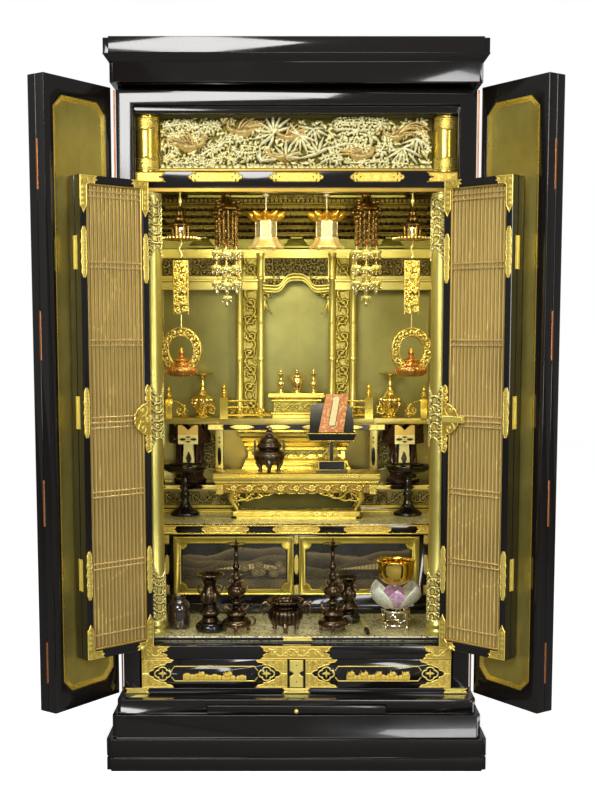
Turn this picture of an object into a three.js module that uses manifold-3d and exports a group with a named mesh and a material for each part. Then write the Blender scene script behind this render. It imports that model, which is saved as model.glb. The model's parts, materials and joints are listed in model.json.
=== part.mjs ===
import * as THREE from "three";
import { mergeVertices } from "three/addons/utils/BufferGeometryUtils.js";
import Module from "manifold-3d";

const wasm = await Module();
wasm.setup();

// Driving dimensions in millimetres. The origin is the middle of the plinth's underside.
// The front faces -Y.
const bodyHalf = 415; // half the width over the front posts
const bodyFront = -280; // front plane of the posts
const bodyBack = 360; // the back is flush with the plinth, to stand against a wall
const plinthTop = 164;
const bodyTop = 1590;
const crownTop = 1688;
const wall = 18; // boards of the carcass
const gap = 0.4; // clearance between two separate pieces
const postWidth = 39;
const railBack = -246; // back plane of the posts and the head rail
const openingHalf = bodyHalf - postWidth;
const outerLeaf = { pinX: 424.7, pinY: -282, width: 211, thick: 24, bottom: 168, top: 1587, open: 125 };
const innerLeaf = { pinX: 369, pinY: -274, width: 184, thick: 22, bottom: 285, top: 1374, open: 138 };
const deckTop = 297;
const shelfFront = 10;
const shelfTop = 534;
const daisTop = 612;
const daisFront = 216;
const stageTop = 795;
const ceiling = 1406;
const liningX = 379; // inner face of the gilt side boards
const liningBack = 334;
const pillarX = 345;
const pillarY = -215;
const pillarRadius = 24;
const transom = { bottom: 1358, top: 1404 };

const lacquer = { color: 0x0b0807, roughness: 0.18, metalness: 0 };
const goldLeaf = { color: 0xb9962f, roughness: 0.42, metalness: 0.85 };
const giltMetal = { color: 0xe0b645, roughness: 0.28, metalness: 1 };
const goldGround = { color: 0xa8994e, roughness: 0.5, metalness: 0.6 };
const gauze = { color: 0xa08a5a, roughness: 0.85, metalness: 0 };
const bronze = { color: 0x2b2018, roughness: 0.35, metalness: 0.9 };
const glassWhite = { color: 0xd9cbd6, roughness: 0.15, metalness: 0 };
const paperOrange = { color: 0xb5623a, roughness: 0.7, metalness: 0 };

const altar = new THREE.Group();
const deg = Math.PI / 180;

// A closed solid from a geometry: equal corners are merged and slivers dropped.
function solid(geometry) {
  geometry.deleteAttribute("normal");
  geometry.deleteAttribute("uv");
  const merged = mergeVertices(geometry, 1e-3);
  const corner = merged.index.array;
  const kept = [];
  for (let i = 0; i < corner.length; i += 3) {
    const [a, b, c] = [corner[i], corner[i + 1], corner[i + 2]];
    if (a !== b && b !== c && c !== a) kept.push(a, b, c);
  }
  const vertProperties = merged.attributes.position.array;
  const build = (triVerts) =>
    new wasm.Manifold(new wasm.Mesh({ numProp: 3, vertProperties, triVerts }));
  const made = build(new Uint32Array(kept));
  return made.volume() < 0 ? build(new Uint32Array(kept.reverse())) : made;
}

const join = (...solids) => solids.flat().reduce((whole, next) => whole.add(next));
const cut = (body, ...tools) => tools.flat().reduce((left, tool) => left.subtract(tool), body);

function box(x0, x1, y0, y1, z0, z1) {
  const middle = [(x0 + x1) / 2, (y0 + y1) / 2, (z0 + z1) / 2];
  return solid(new THREE.BoxGeometry(x1 - x0, y1 - y0, z1 - z0).translate(...middle));
}

// A box between |x| = xa and |x| = xb on one side of the middle line.
const sideBox = (side, xa, xb, ...rest) =>
  side < 0 ? box(-xb, -xa, ...rest) : box(xa, xb, ...rest);

// A turned form: profile points are [radius, height], from the foot up.
function turned(profile, sides, x = 0, y = 0, z = 0, turn = 0) {
  const points = profile.map(([r, h]) => new THREE.Vector2(r, h));
  const geometry = new THREE.LatheGeometry(points, sides).rotateX(Math.PI / 2).rotateZ(turn);
  return solid(geometry.translate(x, y, z));
}

function outline(points) {
  return new THREE.Shape(points.map(([a, b]) => new THREE.Vector2(a, b)));
}

// A flat outline in X and Z, sawn from a board between y0 and y1.
function upright(shape, y0, y1, curveSegments = 5) {
  const geometry = new THREE.ExtrudeGeometry(shape, { depth: y1 - y0, bevelEnabled: false, curveSegments });
  return solid(geometry.rotateX(Math.PI / 2).translate(0, y1, 0));
}

// A plan outline in X and Y, between z0 and z1.
function flat(shape, z0, z1, curveSegments = 5) {
  const geometry = new THREE.ExtrudeGeometry(shape, { depth: z1 - z0, bevelEnabled: false, curveSegments });
  return solid(geometry.translate(0, 0, z0));
}

// A bar of round section along a curve.
function rod(points, radius, steps, sides = 6) {
  const path = new THREE.CatmullRomCurve3(points.map((p) => new THREE.Vector3(...p)));
  const section = new THREE.Shape().absarc(0, 0, radius, 0, 2 * Math.PI);
  const settings = { extrudePath: path, steps, curveSegments: sides / 2, bevelEnabled: false };
  return solid(new THREE.ExtrudeGeometry(section, settings));
}

// A block whose top rectangle differs from its bottom one: each is [x0, x1, y0, y1].
function taper(bottom, top, z0, z1) {
  const ring = ([x0, x1, y0, y1], z) => [[x0, y0, z], [x1, y0, z], [x1, y1, z], [x0, y1, z]];
  const corners = [...ring(bottom, z0), ...ring(top, z1)].flat();
  const faces = [0, 2, 1, 0, 3, 2, 4, 5, 6, 4, 6, 7];
  for (let i = 0; i < 4; i++) {
    const j = (i + 1) % 4;
    faces.push(i, j, j + 4, i, j + 4, i + 4);
  }
  const geometry = new THREE.BufferGeometry();
  geometry.setAttribute("position", new THREE.Float32BufferAttribute(corners, 3));
  geometry.setIndex(faces);
  return solid(geometry);
}

// A carved board between x0..x1 and z0..z1: its back is flat at yBack, its front stands out by height(x, z).
function relief(x0, x1, z0, z1, yBack, nx, nz, height) {
  const corners = [];
  for (const front of [true, false])
    for (let j = 0; j <= nz; j++)
      for (let i = 0; i <= nx; i++) {
        const x = x0 + ((x1 - x0) * i) / nx;
        const z = z0 + ((z1 - z0) * j) / nz;
        corners.push(x, front ? yBack - height(x, z) : yBack, z);
      }
  const at = (front, i, j) => (front ? 0 : (nx + 1) * (nz + 1)) + j * (nx + 1) + i;
  const faces = [];
  const quad = (a, b, c, d) => faces.push(a, b, c, a, c, d);
  for (let j = 0; j < nz; j++)
    for (let i = 0; i < nx; i++) quad(at(1, i, j), at(1, i + 1, j), at(1, i + 1, j + 1), at(1, i, j + 1));
  const rim = [];
  for (let i = 0; i < nx; i++) rim.push([i, 0]);
  for (let j = 0; j < nz; j++) rim.push([nx, j]);
  for (let i = nx; i > 0; i--) rim.push([i, nz]);
  for (let j = nz; j > 0; j--) rim.push([0, j]);
  rim.forEach(([i, j], k) => {
    const [m, n] = rim[(k + 1) % rim.length];
    quad(at(1, m, n), at(1, i, j), at(0, i, j), at(0, m, n));
  });
  for (let j = 0; j < nz; j++)
    for (let i = 0; i < nx; i++) quad(at(0, i, j), at(0, i, j + 1), at(0, i + 1, j + 1), at(0, i + 1, j));
  const geometry = new THREE.BufferGeometry();
  geometry.setAttribute("position", new THREE.Float32BufferAttribute(corners, 3));
  geometry.setIndex(faces);
  return solid(geometry);
}

function piece(name, body, finish, parent = altar) {
  const made = body.getMesh();
  const geometry = new THREE.BufferGeometry();
  geometry.setAttribute("position", new THREE.BufferAttribute(made.vertProperties, 3));
  geometry.setIndex(new THREE.BufferAttribute(made.triVerts, 1));
  geometry.computeVertexNormals();
  const mesh = new THREE.Mesh(geometry, new THREE.MeshStandardMaterial(finish));
  mesh.name = name;
  parent.add(mesh);
}

const sides = [
  ["left", -1],
  ["right", 1],
];

// Plinth: a toe and three tiers with notched front corners, hollow below, with a slot for the tray.
const tiers = [
  { half: 448, front: -360, z0: 0, z1: 31, notch: 11 },
  { half: 444, front: -356, z0: 31, z1: 35, notch: 11 },
  { half: 448, front: -360, z0: 35, z1: 77, notch: 11 },
  { half: 435, front: -346, z0: 77, z1: 131, notch: 9 },
  { half: 425, front: -330, z0: 131, z1: plinthTop, notch: 8 },
];
const traySlot = { half: 212.5, z0: 132, z1: 152, back: -20 };

function notchedPlan(half, front, back, notch) {
  return outline([
    [-half, front + notch],
    [-half + notch, front + notch],
    [-half + notch, front],
    [half - notch, front],
    [half - notch, front + notch],
    [half, front + notch],
    [half, back],
    [-half, back],
  ]);
}

function plinth() {
  const stack = tiers.map(({ half, front, z0, z1, notch }) =>
    flat(notchedPlan(half, front, bodyBack, notch), z0, z1),
  );
  const bays = [-1, 1].map((side) => sideBox(side, 40, 405, -306, 336, -1, 112));
  const slot = box(-traySlot.half, traySlot.half, -400, traySlot.back, traySlot.z0, traySlot.z1);
  return cut(join(stack), bays, slot);
}

// Tray: a shallow board behind a moulded front, sliding in the top tier.
function tray() {
  const front = box(-211, 211, -338, -318, traySlot.z0 + gap, traySlot.z1 - gap);
  const board = box(-206, 206, -318.5, -40, traySlot.z0 + gap, traySlot.z1 - 5);
  return cut(join(front, board), box(-198, 198, -308, -50, traySlot.z0 + 9, 200));
}

// Carcass: two side boards, a back board and a roof board, glued up.
function carcass() {
  const z0 = plinthTop + gap;
  const boards = [-1, 1].map((side) =>
    sideBox(side, bodyHalf - wall, bodyHalf, railBack, bodyBack, z0, bodyTop));
  const back = box(-bodyHalf, bodyHalf, bodyBack - wall + 4, bodyBack, z0, bodyTop);
  const roof = box(-bodyHalf, bodyHalf, railBack, bodyBack, bodyTop - wall, bodyTop);
  return join(boards, back, roof);
}

// Front frame: two posts with a bead down the inner edge, the head rail and the lower lintel.
function frontFrame() {
  const z0 = plinthTop + gap;
  const back = railBack - gap;
  const posts = [-1, 1].flatMap((side) => [
    sideBox(side, openingHalf, bodyHalf, bodyFront, back, z0, 1550),
    sideBox(side, openingHalf - 3, openingHalf + 1, bodyFront + 12, back, 283, 1540),
  ]);
  const head = box(-bodyHalf, bodyHalf, bodyFront, back, 1549.5, 1583);
  const shadowStrip = box(-bodyHalf + 6, bodyHalf - 6, bodyFront + 14, back, 1582, bodyTop - gap);
  const lintel = box(-openingHalf - 1, openingHalf + 1, bodyFront + 20, back, 1533, 1550);
  return join(posts, head, shadowStrip, lintel);
}

// Cornice: an upright band, a hollow slope and a crown with notched corners, open below over the roof board.
const crown = { half: 435.5, front: -342, z0: 1652, notch: 14 };
const band = { half: 422, front: -330, z1: 1635 };

function cornice() {
  const low = flat(notchedPlan(band.half, band.front, bodyBack, 8), bodyTop + gap, band.z1);
  const ring = (p) => [-p.half, p.half, p.front, bodyBack];
  const slope = taper(ring(band), ring(crown), band.z1, crown.z0);
  const top = flat(notchedPlan(crown.half, crown.front, bodyBack, crown.notch), crown.z0, crownTop);
  const hollow = box(-398, 398, -300, 338, bodyTop - 1, crownTop - wall);
  return cut(join(low, slope, top), hollow);
}

piece("plinth", plinth(), lacquer);
piece("tray", tray(), lacquer);
piece("carcass", carcass(), lacquer);
piece("front_frame", frontFrame(), lacquer);
piece("cornice", cornice(), lacquer);

// Drawer case: bottom board, sill rail, centre post and ledge under the deck.
const sill = { z0: 249, z1: 281.4 };
const drawer = { x0: 21, x1: 372.5, z0: 178.5, z1: 248.5, depth: 300 };

function drawerCase() {
  const back = 60;
  const bottom = box(-372.6, 372.6, bodyFront, back, plinthTop + gap, drawer.z0 - gap);
  const rail = box(-372.6, 372.6, bodyFront, back, drawer.z1 + gap, sill.z1);
  const post = box(-20.5, 20.5, bodyFront, back, drawer.z0 - 2, drawer.z1 + 2);
  const ledge = box(-372.6, 372.6, -249, -225, sill.z1 - 1, deckTop - 12 - gap);
  return join(bottom, rail, post, ledge);
}

// One drawer: a front board with a quatrefoil pull plate, and a box of thin boards behind it.
function drawerBox(side) {
  const front = sideBox(side, drawer.x0, drawer.x1, bodyFront, bodyFront + 18, drawer.z0, drawer.z1);
  const tub = sideBox(side, drawer.x0 + 3, drawer.x1 - 3, bodyFront + 17, bodyFront + drawer.depth,
    drawer.z0 + 1, drawer.z1 - 6);
  const inside = sideBox(side, drawer.x0 + 12, drawer.x1 - 12, bodyFront + 18, bodyFront + drawer.depth - 9,
    drawer.z0 + 8, 400);
  const plates = [0.18, 0.82].map((share) => {
    const x = side * (drawer.x0 + share * (drawer.x1 - drawer.x0));
    const plate = outline([0, 1, 2, 3, 4, 5, 6, 7].map((k) => [
      x + (k % 2 ? 13 : 24) * Math.cos((k * Math.PI) / 4),
      213 + (k % 2 ? 10 : 17) * Math.sin((k * Math.PI) / 4),
    ]));
    return upright(plate, bodyFront - 1.6, bodyFront + 1);
  });
  return join(cut(join(front, tub), inside), plates);
}

piece("drawer_case", drawerCase(), lacquer);
for (const [name, side] of sides) piece("drawer_" + name, drawerBox(side), lacquer);

// Gilt lining: side boards, back and ceiling of the lit space, and the board behind the transom carving.
function lining() {
  const walls = [-1, 1].map((side) =>
    sideBox(side, liningX, liningX + 11, -181, liningBack + 9, deckTop - 11, 1416));
  const back = box(-liningX, liningX, liningBack, liningBack + 9, deckTop - 11, 1416);
  const top = box(-liningX - 5, liningX + 5, -181, liningBack + 9, ceiling, 1416);
  const behindCarving = box(-394, 394, -181, -174, 1415, 1570);
  return join(walls, back, top, behindCarving);
}

piece("gilt_lining", lining(), goldLeaf);

// Deck with rounded front corners, two steps and the cupboard front with its two pictures.
function deck() {
  const half = liningX - 1.5;
  const front = railBack - 2.5;
  const r = 22;
  const shape = new THREE.Shape();
  shape.moveTo(-half, shelfFront + 8);
  shape.lineTo(-half, front + r);
  shape.absarc(-half + r, front + r, r, Math.PI, 1.5 * Math.PI);
  shape.absarc(half - r, front + r, r, 1.5 * Math.PI, 2 * Math.PI);
  shape.lineTo(half, shelfFront + 8);
  return flat(shape, deckTop - 12, deckTop, 4);
}

const cupboard = { y: 20, z0: 345.5, z1: 495 };

function cupboardFront() {
  const half = liningX - 2;
  const steps = [
    box(-half, half, -10 + shelfFront, 60, deckTop + gap, 321),
    box(-half, half, shelfFront, 60, 320, cupboard.z0),
  ];
  const face = box(-half, half, cupboard.y, 60, cupboard.z0 - 1, cupboard.z1 + 9);
  const pictures = [-1, 1].map((side) => {
    const [a, b] = [26, 300];
    const [c, d, chamfer] = [cupboard.z0 + 15, cupboard.z1 - 15, 16];
    const field = [[a, c + chamfer], [a + chamfer, c], [b - chamfer, c], [b, c + chamfer],
      [b, d - chamfer], [b - chamfer, d], [a + chamfer, d], [a, d - chamfer]];
    const points = field.map(([x, z]) => [side * x, z]);
    return upright(outline(side < 0 ? points.reverse() : points), cupboard.y - 5, cupboard.y + 5);
  });
  return join(steps, cut(face, pictures));
}

// Upper shelf with its black front rail.
function shelf() {
  const half = liningX - 2;
  const board = box(-half, half, shelfFront + 10, liningBack - 1, shelfTop - 14, shelfTop);
  const rail = box(-half, half, shelfFront, shelfFront + 20, cupboard.z1 + 9 + gap, shelfTop);
  return join(board, rail);
}

piece("deck", deck(), goldGround);
piece("cupboard_front", cupboardFront(), lacquer);
piece("upper_shelf", shelf(), goldGround);

// Round gilt pillars with a foot ring, and the short columns over the rail.
function pillar(side) {
  const height = transom.bottom - deckTop - 2 * gap;
  const r = pillarRadius;
  const profile = [[0, 0], [r + 4, 0], [r + 4, 24], [r + 2, 28], [r + 2, height], [0, height]];
  return turned(profile, 12, side * pillarX, pillarY, deckTop + gap, Math.PI / 12);
}

function shortColumn(side) {
  const height = 1533 - transom.top - gap;
  const r = 28;
  const profile = [[0, 0], [r + 2, 0], [r + 2, 36], [r, 36], [r, height - 36], [r + 2, height - 36],
    [r + 2, height], [0, height]];
  return turned(profile, 10, side * 352, -213, transom.top + gap, Math.PI / 10);
}

for (const [name, side] of sides) {
  piece("pillar_" + name, pillar(side), giltMetal);
  piece("short_column_" + name, shortColumn(side), giltMetal);
}

// Transom: black rail over a gilt strip, the pierced carving above it and the gilt board behind.
function transomRail() {
  const half = bodyHalf - wall - gap;
  const rail = box(-half, half, railBack + gap, -192, 1367, transom.top);
  const strip = box(-half, half, railBack + 8, -198, transom.bottom, 1368);
  return join(rail, strip);
}

// Height of the carving: a garden of boughs and blossoms, birds in flight along both halves.
function carvedHeight(x, z) {
  const u = Math.abs(x) / 322;
  const v = (z - 1418) / 114;
  const bough = Math.exp(-(((v - 0.45 - 0.22 * Math.sin(7 * u + 0.6)) / 0.16) ** 2));
  const across = Math.sin(0.155 * x + 3 * Math.sin(0.05 * z));
  const leaf = 0.5 + 0.5 * across * Math.sin(0.16 * z + 2 * Math.sin(0.03 * x));
  const bird = [0.18, 0.47, 0.8].reduce((sum, at, k) =>
    sum + Math.exp(-(((u - at) / 0.055) ** 2) - (((v - (k === 1 ? 0.72 : 0.6)) / 0.2) ** 2)), 0);
  const edge = Math.min(1, 9 * (1 - u), 6 * v, 6 * (1 - v));
  return 10 + Math.max(0, edge) * (3 + 8 * leaf + 5 * bough + 5 * Math.min(1, bird));
}

function transomCarving() {
  const carving = relief(-321, 321, 1418, 1532, -203, 28, 6, carvedHeight);
  const frame = box(-321, 321, -229, -200, transom.top + gap, 1418.5);
  return join(carving, frame, box(-321, 321, -204, -200, transom.top + gap, 1532));
}

piece("transom_rail", transomRail(), lacquer);
piece("transom_carving", transomCarving(), goldLeaf);

// Lower dais: black-edged base with a carved band, carrying the offering boxes and the stage.
function lowerDais() {
  const half = liningX - 4;
  const foot = box(-half, half, daisFront + 2, 330, shelfTop + gap, 553);
  const core = box(-half, half, daisFront + 8, 330, 552, 598);
  const edge = box(-half, half, daisFront, 330, 597, daisTop);
  const band = [-1, 1].map((side) => {
    const height = (x, z) => 3 + 3 * Math.sin(0.09 * x) * Math.sin(0.14 * (z - 553));
    const [a, b] = side < 0 ? [-370, -150] : [150, 370];
    return relief(a, b, 555, 596, daisFront + 9, 8, 2, height);
  });
  return join(foot, core, edge, band);
}

// Stage: corner posts, side boards and an edged top slab, open at the front over the pedestal.
const stage = { x: 224, y: 222, slab: 763 };

function stageFrame() {
  const posts = [-1, 1].map((side) => sideBox(side, 203, stage.x, stage.y, stage.y + 21, daisTop + gap, 764));
  const walls = [-1, 1].map((side) => sideBox(side, 212, stage.x, stage.y + 20, 330, daisTop + gap, 764));
  const lip = box(-stage.x + 3, stage.x - 3, stage.y, 330, stage.slab, 782);
  const slab = box(-375, 375, stage.y + 14, 330, 779, stageTop);
  const nosing = box(-213, 213, stage.y - 5, stage.y + 15, 781, stageTop);
  return join(posts, walls, lip, slab, nosing);
}

// Pedestal in the stage: mouldings step in to a waist and out again.
function pedestal() {
  const steps = [[612.4, 634, 150], [633, 656, 138], [655, 668, 124], [667, 700, 108], [699, 712, 122],
    [711, 728, 136], [727, 745, 150], [744, 762.5, 164]];
  return join(steps.map(([z0, z1, half]) => box(-half, half, 246 + (165 - half) * 0.4, 328, z0, z1)));
}

piece("lower_dais", lowerDais(), goldLeaf);
piece("stage", stageFrame(), goldLeaf);
piece("stage_pedestal", pedestal(), goldLeaf);

// Railing round the stage: corner posts with bud finials, the top rail sweeping down to the middle.
function railing() {
  const base = stageTop + gap;
  const y = 230;
  const foot = box(-213, 213, y - 6, y + 6, base, base + 8);
  const ends = [-1, 1].flatMap((side) => {
    const post = turned([[0, 0], [7, 0], [7, 64], [4, 68], [8, 80], [0, 98]], 6, side * 203, y, base);
    const inner = box(side * 84 - 4, side * 84 + 4, y - 4, y + 4, base, base + 32);
    const middle = box(...(side < 0 ? [-203, -84] : [84, 203]), y - 2, y + 2, base + 22, base + 27);
    const sweep = [[203, 49], [150, 49], [118, 44], [98, 32], [84, 24]];
    const top = rod(sweep.map(([x, z]) => [side * x, y, base + z]), 3, 5, 4);
    const baluster = box(side * 150 - 2.5, side * 150 + 2.5, y - 1.5, y + 1.5, base, base + 47);
    return [post, inner, middle, top, baluster];
  });
  return join(foot, ends);
}

// Palace front: two pairs of columns with a carved strip between, side bays, beams and the middle arch.
const palaceY = 284;

function palaceFrame() {
  const base = stageTop + gap;
  const y = palaceY;
  const shaft = [[0, 0], [13, 0], [13, 16], [10, 16], [10, 1150 - base], [0, 1150 - base]];
  const columns = [99.5, 158.5].flatMap((x) =>
    [-1, 1].map((side) => turned(shaft, 8, side * x, y, base, Math.PI / 8)));
  const strips = [-1, 1].map((side) => sideBox(side, 107, 151, y - 2, y + 4, base, 1150));
  const beams = [-1, 1].flatMap((side) => [
    sideBox(side, 88, 374, y - 12, y + 12, 1148, 1180),
    sideBox(side, 90, 374, y + 1, y + 8, 1179, 1246),
  ]);
  const top = box(-374, 374, y - 8, y + 12, 1245, 1262);
  const arch = new THREE.Shape();
  arch.moveTo(-92, 1246);
  arch.lineTo(-92, 1072);
  arch.bezierCurveTo(-80, 1090, -84, 1120, -62, 1134);
  arch.bezierCurveTo(-74, 1164, -24, 1168, 0, 1194);
  arch.bezierCurveTo(24, 1168, 74, 1164, 62, 1134);
  arch.bezierCurveTo(84, 1120, 80, 1090, 92, 1072);
  arch.lineTo(92, 1246);
  return join(columns, strips, beams, top, upright(arch, y - 6, y + 6, 3));
}

// Bracket tiers over the palace, stepping forward to the eaves.
function bracketFrieze() {
  const y = palaceY;
  const back = box(-374, 374, y, y + 10, 1262 + gap, ceiling - gap);
  const tiersUp = [[1274, 1294, 14], [1310, 1330, 30]];
  const armCount = 9;
  const arms = tiersUp.flatMap(([z0, z1, out]) =>
    Array.from({ length: armCount }, (_, k) => {
      const x = -320 + (640 * k) / (armCount - 1);
      return box(x - 14, x + 14, y - out, y + 1, z0, z1);
    }));
  const ledges = tiersUp.map(([, z1, out]) => box(-374, 374, y - out - 3, y + 1, z1 - 1, z1 + 8));
  const eaves = [
    box(-374, 374, y - 46, y + 1, 1349, 1364),
    box(-374, 374, y - 60, y + 1, 1372, 1388),
    box(-374, 374, y - 52, y + 1, 1363, 1373),
  ];
  return join(back, arms, ledges, eaves);
}

piece("stage_railing", railing(), giltMetal);
piece("palace_frame", palaceFrame(), goldLeaf);
piece("bracket_frieze", bracketFrieze(), goldLeaf);
piece("palace_back_board", box(-372, 372, 318, 326, stageTop + gap, ceiling - gap), goldLeaf);

// Small top table with its two candlesticks and censer.
function topTable() {
  const base = stageTop + gap;
  const board = box(-78, 78, 242, 276, 851, 863);
  const legs = [-1, 1].flatMap((side) => [
    box(side * 66 - 7, side * 66 + 7, 246, 272, base, 852),
  ]);
  const apron = box(-70, 70, 246, 256, 838, 852);
  const foot = box(-74, 74, 244, 274, base, base + 9);
  const stick = [[0, 0], [14, 0], [5, 14], [12, 30], [4, 44], [12, 60], [0, 66]];
  const censer = [[0, 0], [11, 0], [17, 20], [18, 38], [5, 56], [0, 72]];
  return join(board, legs, apron, foot,
    turned(stick, 6, -43, 258, 862.5), turned(stick, 6, 48, 258, 862.5), turned(censer, 8, 2, 258, 862.5));
}

piece("top_table", topTable(), giltMetal);

// Front altar table: thick edged top, apron with blossoms, carved lower apron, legs and a base bar.
const table = { front: 88, back: 206, half: 223 };

function altarTable() {
  const top = box(-table.half, table.half, table.front, table.back, 643, 656);
  const mould = box(-216, 216, table.front + 4, table.back - 4, 635, 644);
  const apron = cut(box(-218, 218, table.front + 6, table.back - 6, 610, 636),
    box(-204, 204, table.front + 18, table.back - 18, 600, 634));
  const shape = new THREE.Shape();
  shape.moveTo(-170, 611);
  shape.lineTo(-170, 548);
  shape.lineTo(-150, 548);
  shape.bezierCurveTo(-152, 572, -142, 584, -116, 586);
  shape.bezierCurveTo(-90, 590, -60, 604, 0, 604);
  shape.bezierCurveTo(60, 604, 90, 590, 116, 586);
  shape.bezierCurveTo(142, 584, 152, 572, 150, 548);
  shape.lineTo(170, 548);
  shape.lineTo(170, 611);
  const front = upright(shape, table.front + 8, table.front + 18, 3);
  const back = upright(shape, table.back - 18, table.back - 8, 3);
  const ends = [-1, 1].map((side) => sideBox(side, 160, 170, table.front + 8, table.back - 8, 549, 611));
  const bar = cut(box(-174, 174, table.front + 4, table.back - 4, shelfTop + gap, 549),
    box(-150, 150, table.front + 24, table.back - 24, 500, 600));
  return join(top, mould, apron, front, back, ends, bar);
}

piece("altar_table", altarTable(), giltMetal);

// Tripod censer with a lid and a crouching beast, standing on the altar table.
function tripodCenser() {
  const [x, y, base] = [-73, 128, 656 + gap];
  const bowl = turned([[0, 26], [16, 26], [34, 44], [24, 62], [30, 72], [22, 84], [0, 92]], 8, x, y, base);
  const legs = [90, 210, 330].map((a) =>
    rod([[19, 36], [24, 20], [22, 10], [22, 0]].map(([r, z]) =>
      [x + r * Math.cos(a * deg), y + r * Math.sin(a * deg), base + z + 0.5]), 4.5, 3, 4));
  const ears = [-1, 1].map((side) =>
    rod([[24, 70], [37, 74], [36, 94], [35, 108]].map(([r, z]) => [x + side * r, y, base + z]), 3, 4, 4));
  const beast = join(
    turned([[0, 88], [10, 92], [9, 108], [0, 114]], 6, x, y, base),
    turned([[0, 106], [9, 112], [8, 122], [0, 127]], 6, x - 3, y - 3, base),
  );
  return join(bowl, legs, ears, beast);
}

piece("tripod_censer", tripodCenser(), bronze);

// Reading stand: black base, post with openwork brackets, ledge and a leaning board. The book leans on it.
const lectern = { x: 95, y: 150, lean: 62 * deg };

function readingStand() {
  const { x, y } = lectern;
  const base = 656 + gap;
  const foot = box(x - 42, x + 42, y - 28, y + 28, base, base + 8);
  const block = box(x - 35, x + 35, y - 22, y + 22, base, base + 30);
  const post = box(x - 4, x + 4, y - 5, y + 5, base + 29, base + 96);
  const web = [[x - 26, base + 29.5], [x + 26, base + 29.5], [x + 14, base + 82], [x - 14, base + 82]];
  const bracket = upright(outline(web), y - 2, y + 2);
  const wide = [x - 66, x + 66, y - 38, y + 10];
  const ledge = taper([x - 60, x + 60, y - 32, y + 10], wide, base + 84, base + 108);
  const lean = Math.tan(Math.PI / 2 - lectern.lean);
  const slab = (z) => [y - 22 + lean * z, y - 12 + lean * z];
  const board = taper([x - 62, x + 62, ...slab(0)], [x - 54, x + 54, ...slab(80)], base + 106, base + 186);
  return join(foot, block, post, bracket, ledge, board);
}

function readingBook() {
  const { x, y } = lectern;
  const base = 656 + gap + 108 + gap;
  const lean = Math.tan(Math.PI / 2 - lectern.lean);
  const slab = (z) => [y - 33 + lean * z, y - 22.6 + lean * z];
  return taper([x - 36, x + 31, ...slab(0)], [x - 14, x + 47, ...slab(100)], base, base + 100);
}

piece("reading_stand", readingStand(), lacquer);
piece("sutra_book", readingBook(), paperOrange);

// Hexagonal offering boxes on a waisted foot: notched rim, pierced band, tapered legs.
function hexagon(x, y, r) {
  const angles = [0, 1, 2, 3, 4, 5].map((k) => (k * Math.PI) / 3);
  return outline(angles.map((a) => [x + r * Math.cos(a), y + r * Math.sin(a)]));
}

function offeringBox(side) {
  const [x, y, base, r] = [side * 300, 276, daisTop + gap, 56];
  const foot = flat(hexagon(x, y, 44), base, base + 34);
  const leg = turned([[0, 32], [44, 32], [38, 70], [0, 70]], 6, x, y, base, Math.PI / 6);
  const waist = flat(hexagon(x, y, r), base + 68, base + 100);
  const cup = cut(flat(hexagon(x, y, r - 1), base + 99, base + 142),
    flat(hexagon(x, y, r - 7), base + 108, base + 150));
  const notches = [0, 1, 2].map((k) => {
    const wedge = upright(outline([[-14, 200], [0, 124], [14, 200]]), -80, 80);
    return wedge.rotate([0, 0, 60 * k]).translate([x, y, base]);
  });
  return cut(join(foot, leg, waist, cup), notches);
}

// Footed offering stands: a broad dish on a slender turned stem and a bell foot.
function footedStand(side) {
  const profile = [[0, 0], [39, 0], [36, 14], [14, 34], [9, 50], [12, 64], [8, 80], [12, 96], [9, 112],
    [54, 126], [63, 139], [50, 136], [0, 134]];
  return turned(profile, 10, side * 308, 166, shelfTop + gap);
}

// Gilt lotus vases on the outer parts of the stage.
function lotusVase(side) {
  const profile = [[0, 0], [22, 0], [8, 22], [14, 36], [33, 74], [12, 84], [26, 104], [10, 118], [0, 130]];
  return turned(profile, 10, side * 262, 272, stageTop + gap);
}

for (const [name, side] of sides) {
  piece("offering_box_" + name, offeringBox(side), lacquer);
  piece("footed_stand_" + name, footedStand(side), lacquer);
  piece("lotus_vase_" + name, lotusVase(side), giltMetal);
}

// Hanging ring lamps: canopy, openwork plaque, a flaming ring with a small lotus lamp inside.
const hookTop = ceiling - gap;

function ringLamp(side) {
  const [x, y] = [side * 293, -20];
  const canopy = turned([[0, 1258], [47, 1260], [44, 1274], [8, 1296], [2, 1372], [2, hookTop], [0, hookTop]],
    8, x, y);
  const stem = box(x - 2, x + 2, y - 2, y + 2, 1210, 1259);
  const board = [[x - 19, 1076], [x + 19, 1076], [x + 19, 1204], [x, 1214], [x - 19, 1204]];
  const plaque = upright(outline(board), y - 3, y + 3);
  const hook = box(x - 2, x + 2, y - 2, y + 2, 1040, 1080);
  const band = new THREE.Shape();
  band.absarc(x, 985, 58, 0, 2 * Math.PI);
  const hole = new THREE.Path();
  hole.absarc(x, 985, 42, 0, 2 * Math.PI);
  band.holes.push(hole);
  const ring = upright(band, y - 4, y + 4, 5);
  const foot = box(x - 40, x + 40, y - 10, y + 10, 918, 948);
  const lamp = turned([[0, 947], [28, 949], [8, 966], [14, 976], [0, 992]], 8, x, y);
  return join(canopy, stem, plaque, hook, ring, foot, lamp);
}

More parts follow.
